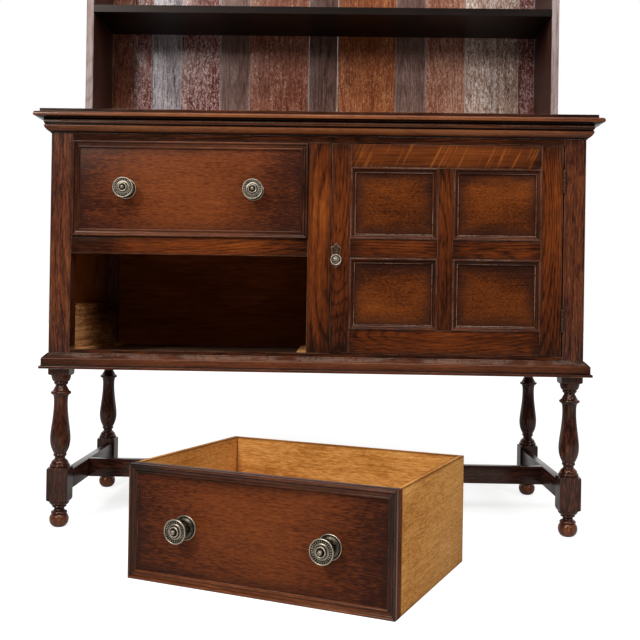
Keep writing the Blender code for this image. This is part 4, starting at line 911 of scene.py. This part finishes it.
def runner_oak(name, colours, painted_shade_up=None):
    """Unstained oak gone brown with handling, darker further in as painted shade."""
    return oak(
        name, colours, (0, 0.25, 0.50, 0.75, 1),
        streak=0.40, rings=0.08, clouds=0.5, dashes=0.2, roughness=0.70, specular=0.08, object_axis="y",
        painted_shade_in=(0.34, 0.36), painted_shade_up=painted_shade_up,
    )


# Upper runners and the cupboard's shelf: an even brown
RUNNER_OAK = runner_oak("unstained oak, runners and shelf", "1c0f08 5c3822 9c6e4a b48c66 c6a480")
# Guides of the lower drawer: pale where its sides rub, darker along their tops and further in as painted
# shade
GUIDE_LOW, GUIDE_HIGH = (corner.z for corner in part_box("lower_runner_left"))
GUIDE_OAK = runner_oak(
    "unstained oak, drawer guides", "3a2010 86552f c89460 dcae7c ecc898",
    (GUIDE_LOW + 0.030, GUIDE_HIGH, 0.14),
)

# Ends and shelves of the plate rack, their front edges rubbed grey
RACK_OAK = oak(
    "stained oak, plate rack", "0b0403 27130f 41241c 6b4e45 9c8c8a",
    streak=0.30, rings=0.10, border=0.25, border_width=0.012, roughness=0.36, specular=0.18,
    wear_and_highlight_colour="8d7b74", tint="ffeee4",
)


def back_board(name, colours, streak=0.42, dash_scale=(90, 420, 420), crackle=0.40, pore=0.30,
               wear_and_highlight_colour="b8a69c", tint="fff0e8", **finish):
    """Oak of the rack's back, its arrises rubbed pale over 3 mm and painted as highlights along the seams."""
    return oak(
        f"stained oak, back board, {name}", colours, streak=streak, dash_scale=dash_scale, crackle=crackle,
        pore=pore, wear_and_highlight_colour=wear_and_highlight_colour, tint=tint, wear=1.0, arris_width=0.003, **finish,
    )


# Back boards of the rack, as the same stain has aged in six ways; their palest flecks are partly painted
# glints
RACK_FINISHES = {
    # Red-brown with wriggling pale silver grain, its palest lines painted glints
    "reddish": back_board(
        "reddish", "180605 401712 673028 916056 c2aaa6", streak=0.44, dashes=0.56,
        dash_scale=(110, 330, 330), crackle=0.50, roughness=0.28, specular=0.40, wear_and_highlight_colour="c4b8b6",
        tint="fff4ee",
    ),
    # Grey where the polish has gone, and paler still as a painted reflection of a bright light
    "silvered_sheen": back_board(
        "silvered_sheen", "2c1f1e 594949 857779 a19596 c4bcbe", streak=0.70, rings=0.30, dashes=0.60,
        dash_scale=(60, 450, 450), roughness=0.28, specular=0.40, wear_and_highlight_colour="dcd8da", tint="ffffff",
    ),
    # Bleached by the window, with pale flecks that are painted glints
    "faded": back_board(
        "faded", "3a1c14 71503f a0806f c8afa2 f0e6e0", streak=0.40, rings=0.16, dashes=0.66,
        dash_scale=(110, 400, 400), specular=0.34, wear_and_highlight_colour="dcd2cc", tint="fff4ea",
    ),
    # Narrow sunk boards, smoke-dark
    "smoky": back_board(
        "smoky", "160b09 38231d 5b3f37 765a50 94796e", rings=0.22, dashes=0.24,
        dash_scale=(62, 250, 250), crackle=0.16, roughness=0.36, specular=0.26, pore=0.22,
        wear_and_highlight_colour="b4a69e",
    ),
    # Mid brown boards
    "russet": back_board(
        "russet", "1c0a06 462013 713c2a 935e48 ba917c", rings=0.16, dashes=0.46, crackle=0.32,
        roughness=0.34, specular=0.26, pore=0.26,
    ),
    # One board of clear orange brown
    "amber": back_board(
        "amber", "220e06 4f220f 7a3d1f 9b5a34 be885e", rings=0.18, dashes=0.48, crackle=0.30,
        roughness=0.38, specular=0.20, pore=0.22, tint="ffeee0",
    ),
}

# Antique brass of the drawer knobs: olive grey, rubbed bright on the rims, black in the hollows
KNOB_BRASS = aged_metal("antique brass, turned knobs", "b8ad9a", "786f60", "17130e", 0.40)
# Lock plate and hinges: browner brass, thin and dull
PLATE_BRASS = aged_metal("antique brass, lock plate and hinges", "7d6656", "443227", "120c08", 0.50)
# Lock case and bolt: worn steel
LOCK_STEEL = aged_metal("lock steel, worn", "9b968e", "6b665f", "2b2825", 0.48)


# The dresser

def make_posts():
    """Four posts, each a turned leg below the carcass and a square post above."""
    for node in ("post_front_left", "post_front_right", "post_rear_left", "post_rear_right"):
        dress(node, [post(node)], POST_OAK, sharp=TURNED_CREASE)


def make_stretchers():
    """The H of stretchers, with a dull dark finish."""
    for node, tenon, along in (
        ("side_stretcher_left", (0, TENON_LENGTH, 0), 1),
        ("side_stretcher_right", (0, TENON_LENGTH, 0), 1),
        ("long_stretcher", (STRETCHER_TENON, 0, 0), 0),
    ):
        dress(node, [plank(*corners(node, tenon), along, tones=STRETCHER_TONES)], POST_OAK)


def make_frame():
    """Front rails, the stile between drawers and cupboard, and the framed sides."""
    tenon = (TENON_LENGTH, 0, 0)
    for node, tenon_end, tones in (
        ("bottom_rail", tenon, DARK_RAIL_TONES),
        ("mid_rail", (0, 0, 0), MID_RAIL_TONES),
        ("top_rail", tenon, DARK_RAIL_TONES),
    ):
        dress(node, [plank(*corners(node, tenon, tenon_end), 0, FINE_EASE, tones)], FRAME_OAK)
    stile = plank(*corners("centre_stile"), 2, FINE_EASE, CENTRE_STILE_TONES)
    dress("centre_stile", [stile], FRAME_OAK)
    framed_side("side_panel_left", -1)
    framed_side("side_panel_right", 1)


def framed_side(node, sign):
    """One end of the carcass: a rail at its foot and head, and an upright panel set back between them."""
    low, high = corners(node)
    foot, head = low[2] + SIDE_RAIL_HEIGHT, high[2] - SIDE_RAIL_HEIGHT
    x0, x1, inner = low[0], high[0] - SIDE_PANEL_RECESS, low[0]
    if sign < 0:
        x0, x1, inner = low[0] + SIDE_PANEL_RECESS, high[0], high[0]
    shells = [
        plank(low, (*high[:2], foot), 1, FINE_EASE), plank((*low[:2], head), high, 1, FINE_EASE),
        plank((x0, low[1], foot), (x1, high[1], head), 2, FINE_EASE),
    ]
    # Inner faces painted lighter, as painted light
    for board in shells:
        inside = np.abs(board["points"][:, 0] - inner) < FINE_EASE
        board["tone"] = np.where(inside, INNER_FACE_PAINTED_LIGHT, board["tone"])
    dress(node, shells, FRAME_OAK)


def edged_board(node, front, table, out, height, place_from=None, tone=0.0):
    """A board with a moulded edge: the moulding is mitred round three sides of a flat core."""
    low, high = corners(node)
    plan = (-HALF_WIDTH, front), (HALF_WIDTH, high[1])
    edge = standing(table, out, height, low[2]) - (GAP, 0)
    core = plank((*plan[0], low[2]), (*plan[1], high[2]), 0, NO_EASE)
    core["half"] = np.broadcast_to(NO_EDGES, core["half"].shape)
    return three_sides(edge, *plan, place_from, tone) + [core]


def make_top():
    """The top board with its moulded edge, the moulding under it, and the one round the carcass's foot."""
    low, high = corners("top_board")
    centre = (*((low + high) / 2)[:2], low[2])
    # Painted shade in the edge's undercuts and painted highlight on its lip and nose
    worn = by_height(TOP_EDGE_PAINTED_LIGHT, low[2], TOP_THICKNESS)
    board = edged_board("top_board", FRONT, TOP_EDGE_TABLE, TOP_OVERHANG, TOP_THICKNESS, centre, worn)
    dress("top_board", board, MOULDING_OAK)
    for node, table, out, bottom, height, tones, wear in (
        ("top_moulding", TOP_MOULDING_TABLE, TOP_MOULDING_OUT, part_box("top_moulding")[0].z,
         TOP_MOULDING_HEIGHT, TOP_MOULDING_PAINTED_LIGHT, None),
        ("base_moulding", BASE_MOULDING_TABLE, BASE_MOULDING_OUT, UNDERSIDE_HEIGHT,
         BASE_MOULDING_HEIGHT, BASE_MOULDING_PAINTED_SHADE, BASE_MOULDING_WEAR),
    ):
        # Painted light and shade over the moulding's height
        section = standing(table, out, height, bottom)
        tone = by_height(tones, bottom, height)
        sides = three_sides(section, (-HALF_WIDTH, FRONT), (HALF_WIDTH, high[1]), tone=tone)
        if wear:
            rubbed = by_height(wear, bottom, height)
            for side in sides:
                side["wear"] = np.maximum(side["wear"], rubbed(0.0, side["points"][:, 2]))
        dress(node, sides, MOULDING_OAK)


def make_rack():
    """The plate rack: two sides, two shelves with a plate groove, back boards and the moulded head."""
    rack_side("rack_side_left", -1)
    rack_side("rack_side_right", 1)
    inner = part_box("rack_side_right")[0].x - GAP
    for node in ("rack_shelf_lower", "rack_shelf_upper"):
        section = grooved_section(*corners(node))
        # Darkened as painted shade, and kept free of pale arrises
        board = run((-inner, 0, 0), (1, 0, 0), (0, 1, 0), (0, 0, 1), 2 * inner, section, tone=SHELF_PAINTED_SHADE)
        board["wear"] = np.minimum(board["wear"], 0.0)
        dress(node, [board], RACK_OAK)
    make_rack_back()
    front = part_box("rack_top")[0].y + CORNICE_OUT
    dress("rack_top", edged_board("rack_top", front, CORNICE_TABLE, CORNICE_OUT, CORNICE_HEIGHT), RACK_OAK)


def rack_side(node, sign):
    """A side board of the rack: its section in Y and X, round at the outer front arris and rubbed grey
    along the front edge, carried straight up."""
    low, high = corners(node)
    outer, inner = (low[0], high[0]) if sign < 0 else (high[0], low[0])
    front, back = low[1], high[1]
    table = (
        (back, outer, 0), (back, inner, 0), (front + RACK_INNER_ROUND, inner, 0), (front, inner, 1),
        (front, (inner + outer) / 2, 0), (front, outer, 1), (front + RACK_OUTER_ROUND, outer, 0),
    )
    section = dense(soften(table, (1, 1), closed=True, steps=6), BOARD_STEP, closed=True)

    def rubbed(depth, _):
        return np.interp(depth - front, *np.array(RACK_EDGE_TONES).T)

    board = run((0, 0, low[2]), (0, 0, 1), (0, 1, 0), (1, 0, 0), high[2] - low[2], section, tone=rubbed)
    dress(node, [board], RACK_OAK)


def grooved_section(low, high):
    """Section of a rack shelf in Y and Z: an eased rectangle with a V groove that plates stand in."""
    groove = high[1] - PLATE_GROOVE_BACK
    half = PLATE_GROOVE_WIDTH / 2
    table = (
        (low[1], low[2], 0), (high[1], low[2], 0), (high[1], high[2], 0), (groove + half, high[2], 0),
        (groove, high[2] - PLATE_GROOVE_DEPTH, 0), (groove - half, high[2], 0), (low[1], high[2], 0),
    )
    return dense(soften(table, (1, 1), closed=True, steps=4), BOARD_STEP, closed=True)


def make_rack_back():
    """Upright boards, by turns sunk and proud, each with its own finish. The narrow ones at the two ends
    are sunk, in the shade of the rack's sides."""
    low, high = corners("rack_back")
    shares = np.array([share for share, _, _ in RACK_BOARDS])
    seams = low[0] + (high[0] - low[0]) * np.concatenate(([0], np.cumsum(shares))) / shares.sum()
    shells = []
    for k, (_, _, lighter) in enumerate(RACK_BOARDS):
        front = low[1] + (0.0 if k % 2 else RACK_BOARD_STEP)
        board_low = (seams[k] + GAP / 2, front, low[2])
        board_high = (seams[k + 1] - GAP / 2, high[1], high[2])
        shells.append(plank(board_low, board_high, 2, BACK_BOARD_EASE, ((0, lighter), (1, lighter))))
    finishes = [list(RACK_FINISHES).index(finish) for _, finish, _ in RACK_BOARDS]
    dress("rack_back", shells, list(RACK_FINISHES.values()), finish_of=finishes)


def make_drawer(name, move):
    """A drawer about the middle of its front's foot: front, moulding, box and knobs."""
    low, high = corners("upper_drawer_front")
    origin = np.array(((low[0] + high[0]) / 2, FRONT, low[2]))
    half, height = (high[0] - low[0]) / 2, high[2] - low[2]
    inner, thick = half - DRAWER_FRONT_END, DRAWER_FRONT_THICKNESS
    shells = [
        plank((-inner, 0, 0), (inner, thick, height), 0, FINE_EASE / 2, DRAWER_TONES),
        plank((-half, 0, 0), (-inner, thick, height), 2, FINE_EASE),
        plank((inner, 0, 0), (half, thick, height), 2, FINE_EASE),
    ]
    dress(f"{name}_front", shells, [DRAWER_OAK, END_OAK], name, move=move, finish_of=(0, 1, 1))
    section = applied(DRAWER_MOULDING_TABLE, DRAWER_MOULDING_WIDTH, DRAWER_MOULDING_OUT)
    # Painted light and shade on the moulding's foot, right, head and left
    tone_values = DRAWER_MOULDING_PAINTED_LIGHT[name]
    sides = four_sides(section, (-half, 0), (half, height), 0.0, tone_values, DRAWER_MOULDING_TONES)
    piece(f"oak_{name}_moulding", sides, MOULDING_OAK, name, [f"{name}_front"], "oak_stained", move)
    back, bottom = (corners(f"upper_drawer_{part}") - origin for part in ("back", "bottom"))
    bottom[:, 0] = np.array((-1, 1)) * (half - DRAWER_SIDE_THICKNESS - GAP)
    start, end, inner = thick + GAP, back[1, 1], half - DRAWER_SIDE_THICKNESS
    for part, board in (
        ("side_left", plank((-half, start, 0), (-inner, end, height), 1)),
        ("side_right", plank((inner, start, 0), (half, end, height), 1)),
        ("back", plank(*back, 0)),
        ("bottom", plank(*bottom, 0)),
    ):
        dress(f"{name}_{part}", [board], BOX_OAK, name, "oak_raw", move=move)
    for side in ("left", "right"):
        centre = corners(f"upper_drawer_knob_{side}").mean(axis=0) - origin
        centre[1] = -GAP
        turned = lathe(KNOB_TABLE, KNOB_RADIUS, KNOB_REACH, centre, sides=168, beads=28,
                       bead_ring=(0.62, 0.90), bead_height=0.0011)
        dress(f"{name}_knob_{side}", [turned], KNOB_BRASS, name, "brass", move=move, sharp=BRASS_CREASE)


def make_drawers():
    """The upper drawer in its place, and the lower one turned out on the floor."""
    low, high = corners("upper_drawer_front")
    home = Matrix.Translation(((low[0] + high[0]) / 2, FRONT, low[2]))
    make_drawer("upper_drawer", home)
    out = Matrix.Translation((DRAWER_OUT_X, FRONT - DRAWER_OUT_AHEAD, 0))
    make_drawer("lower_drawer", out @ Matrix.Rotation(DRAWER_OUT_TURN, 4, "Z"))


def make_door():
    """Stiles, rails, the cross of muntin and mid rails, and four moulded panels."""
    for node in ("door_stile_left", "door_stile_right"):
        dress(node, [plank(*corners(node), 2, FINE_EASE, DOOR_STILE_TONES)], FRAME_OAK, "door")
    for node, finish in (("door_bottom_rail", FRAME_OAK), ("door_top_rail", RAY_OAK)):
        ends = corners(node, (DOOR_TENON, 0, 0))
        dress(node, [plank(*ends, 0, FINE_EASE, DOOR_RAIL_TONES)], finish, "door")
    low, high = corners("door_cross")
    x, _, z = (low + high) / 2
    left, right = x - DOOR_MUNTIN / 2, x + DOOR_MUNTIN / 2
    bottom, top = z - DOOR_MID_RAIL / 2, z + DOOR_MID_RAIL / 2
    shells = [
        plank((left, *low[1:]), (right, *high[1:]), 2, FINE_EASE, DOOR_STILE_TONES),
        plank((*low[:2], bottom), (left - GAP, high[1], top), 0, FINE_EASE, SHORT_RAIL_TONES),
        plank((right + GAP, low[1], bottom), (*high[:2], top), 0, FINE_EASE, SHORT_RAIL_TONES),
    ]
    dress("door_cross", shells, FRAME_OAK, "door")
    section = applied(PANEL_MOULDING_TABLE, PANEL_MOULDING_WIDTH, PANEL_RECESS + PANEL_MOULDING_PROUD)
    face = FRONT + PANEL_RECESS
    for node in (f"door_panel_{row}_{column}" for row in ("lower", "upper") for column in ("left", "right")):
        low, high = corners(node)
        dress(node, [plank((low[0], face, low[2]), high, 0, FINE_EASE)], PANEL_OAK, "door")
        sides = four_sides(section, low[::2], high[::2], face)
        piece(f"oak_{node}_moulding", sides, MOULDING_OAK, "door", [node], "oak_stained")


def make_door_metal():
    """Lock plate, small knob and the two butt hinges."""
    dress("escutcheon", [lock_plate("escutcheon")], PLATE_BRASS, "door", "brass", sharp=BRASS_CREASE)
    low, high = corners("door_knob")
    centre = np.array(((low[0] + high[0]) / 2, high[1], (low[2] + high[2]) / 2))
    turned = lathe(DOOR_KNOB_TABLE, DOOR_KNOB_RADIUS, high[1] - low[1], centre, sides=96, beads=20,
                   bead_ring=(0.80, 1.1), bead_height=0.0003)
    dress("door_knob", [turned], KNOB_BRASS, "door", "brass", sharp=BRASS_CREASE)
    hinge("hinge_upper")
    hinge("hinge_lower")


def hinge(name):
    """A butt hinge: on each side a thin leaf and its share of the five knuckles."""
    low, high = corners(f"{name}_frame_leaf")
    bottom, top = low[2], high[2]
    pitch = (top - bottom) / HINGE_KNUCKLES
    axis = low[:2] + KNUCKLE_RADIUS
    for owner, body, sign, first in (("frame", "carcass", 1, 0), ("door", "door", -1, 1)):
        node = f"{name}_{owner}_leaf"
        rear = corners(node)[1, 1]
        x0, x1 = sorted((axis[0] + sign * GAP, axis[0] + sign * LEAF_THICKNESS))
        shells = [plank((x0, axis[1] + KNUCKLE_RADIUS, bottom), (x1, rear, top), 2, LEAF_EASE)]
        for k in range(first, HINGE_KNUCKLES, 2):
            shells.append(knuckle(axis, bottom + k * pitch + GAP / 2, bottom + (k + 1) * pitch - GAP / 2))
        dress(node, shells, PLATE_BRASS, body, "brass", sharp=BRASS_CREASE)


def dress_kept_nodes():
    """Inner parts that keep their solid: the same woods by Object coordinates."""
    for finish, nodes in (
        (FLOOR_OAK, ("floor_board",)),
        (INSIDE_OAK, ("partition", "carcass_back")),
        (RUNNER_OAK, ("cupboard_shelf", "upper_runner_frame")),
        (GUIDE_OAK, ("lower_runner_left", "lower_runner_right")),
        (LOCK_STEEL, ("lock_case", "lock_bolt")),
    ):
        for node in nodes:
            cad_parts[node].data.materials.clear()
            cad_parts[node].data.materials.append(finish)


# The studio

def make_floor():
    """A pale floor that keeps the shadow: it glows to the camera, more the further off, so that its lit
    part is white."""
    reach = 14.0
    ground = [(-reach, -reach, 0), (reach, -reach, 0), (reach, reach, 0), (-reach, reach, 0)]
    mesh = bpy.data.meshes.new("studio_floor")
    mesh.from_pydata(ground, [], [(0, 1, 2, 3)])
    material, tree, shader = new_material("studio floor, matt white")
    fill(shader, {"Base Color": linear("c4c4c3"), "Roughness": 0.9, "Specular IOR Level": 0.0})
    path = add(tree, "ShaderNodeLightPath").outputs
    seen = reckon(tree, "MAXIMUM", path["Is Camera Ray"], path["Is Transmission Ray"])
    glossy = reckon(tree, "MULTIPLY", path["Is Glossy Ray"], 0.25)
    glow = reckon(tree, "MAXIMUM", seen, glossy)
    place = add(tree, "ShaderNodeTexCoord").outputs["Object"]
    away = add(tree, "ShaderNodeVectorMath", {0: place}, operation="LENGTH").outputs["Value"]
    level = add(tree, "ShaderNodeMapRange", {0: away, 1: 0.6, 2: 2.6, 3: 0.76, 4: 1.0}).outputs[0]
    strength = reckon(tree, "MULTIPLY", glow, level)
    fill(shader, {"Emission Color": (1, 1, 1, 1), "Emission Strength": strength})
    mesh.materials.append(material)
    floor = placed("studio_floor", mesh)


def make_world():
    """White to the camera; a mirror sees white behind the dresser and a dim room on the camera's side."""
    world = bpy.data.worlds.new("white studio")
    bpy.context.scene.world = world
    world.use_nodes = True
    tree = world.node_tree
    tree.nodes.clear()
    direction = add(tree, "ShaderNodeTexCoord").outputs["Generated"]
    y = add(tree, "ShaderNodeSeparateXYZ", {0: direction}).outputs[1]
    behind = add(tree, "ShaderNodeMapRange", {0: y, 1: -0.25, 2: 0.55, 3: 0.08, 4: 1.0}).outputs[0]
    path = add(tree, "ShaderNodeLightPath").outputs
    mirrored = reckon(tree, "MAXIMUM", path["Is Glossy Ray"], path["Is Transmission Ray"])
    lit = add(tree, "ShaderNodeMix", {0: mirrored, 2: 0.24, 3: behind}).outputs[0]
    strength = add(tree, "ShaderNodeMix", {0: path["Is Camera Ray"], 2: lit, 3: 1.0}).outputs[0]
    sockets = {"Color": (1, 1, 1, 1), "Strength": strength}
    background = add(tree, "ShaderNodeBackground", sockets).outputs[0]
    add(tree, "ShaderNodeOutputWorld", {"Surface": background})


def soft_box(name, place, aim, size, watts):
    """A white rectangular studio light that faces its aim."""
    light = bpy.data.lights.new(name, "AREA")
    light.shape = "RECTANGLE"
    light.size, light.size_y = size
    light.energy = watts
    lamp = placed(name, light)
    lamp.location = place
    lamp.rotation_euler = (Vector(aim) - Vector(place)).to_track_quat("-Z", "Y").to_euler()


def make_lights():
    """Two soft boxes high on either side of the camera, and a broad one overhead in front."""
    soft_box("box left", (-1.65, -2.5, 2.15), (-0.1, 0.2, 0.75), (0.45, 0.75), 56.0)
    soft_box("box right", (2.3, -2.2, 2.1), (0.1, 0.2, 0.7), (0.7, 1.2), 28.0)
    soft_box("box above", (0.0, -1.5, 3.0), (0.0, 0.1, 0.6), (2.2, 1.0), 56.0)


def make_camera():
    """The photograph's camera: low, just ahead of the dresser, looking level and shifted down a little."""
    camera = bpy.data.cameras.new("camera")
    camera.sensor_width = SENSOR_WIDTH
    camera.lens = SENSOR_WIDTH * FOCAL_PIXELS / PHOTO_PIXELS
    camera.shift_y = -SHIFT_PIXELS / PHOTO_PIXELS
    camera.clip_end = 100
    eye = placed("camera", camera)
    yaw, pitch, roll = (math.radians(a) for a in CAMERA_DEGREES)
    turn = Matrix.Rotation(yaw, 3, "Z") @ Matrix.Rotation(pitch, 3, "X") @ Matrix.Rotation(roll, 3, "Y")
    right, forward, up = (turn.col[k] for k in range(3))
    pose = Matrix((right, up, -forward)).transposed().to_4x4()
    pose.translation = (CAMERA_RIGHT, FRONT - CAMERA_AHEAD, CAMERA_HEIGHT)
    eye.matrix_world = pose
    bpy.context.scene.camera = eye


make_camera()
make_posts()
make_stretchers()
make_frame()
make_top()
make_rack()
make_drawers()
make_door()
make_door_metal()
dress_kept_nodes()
make_floor()
make_world()
make_lights()
bpy.context.scene.view_settings.view_transform = "Standard"
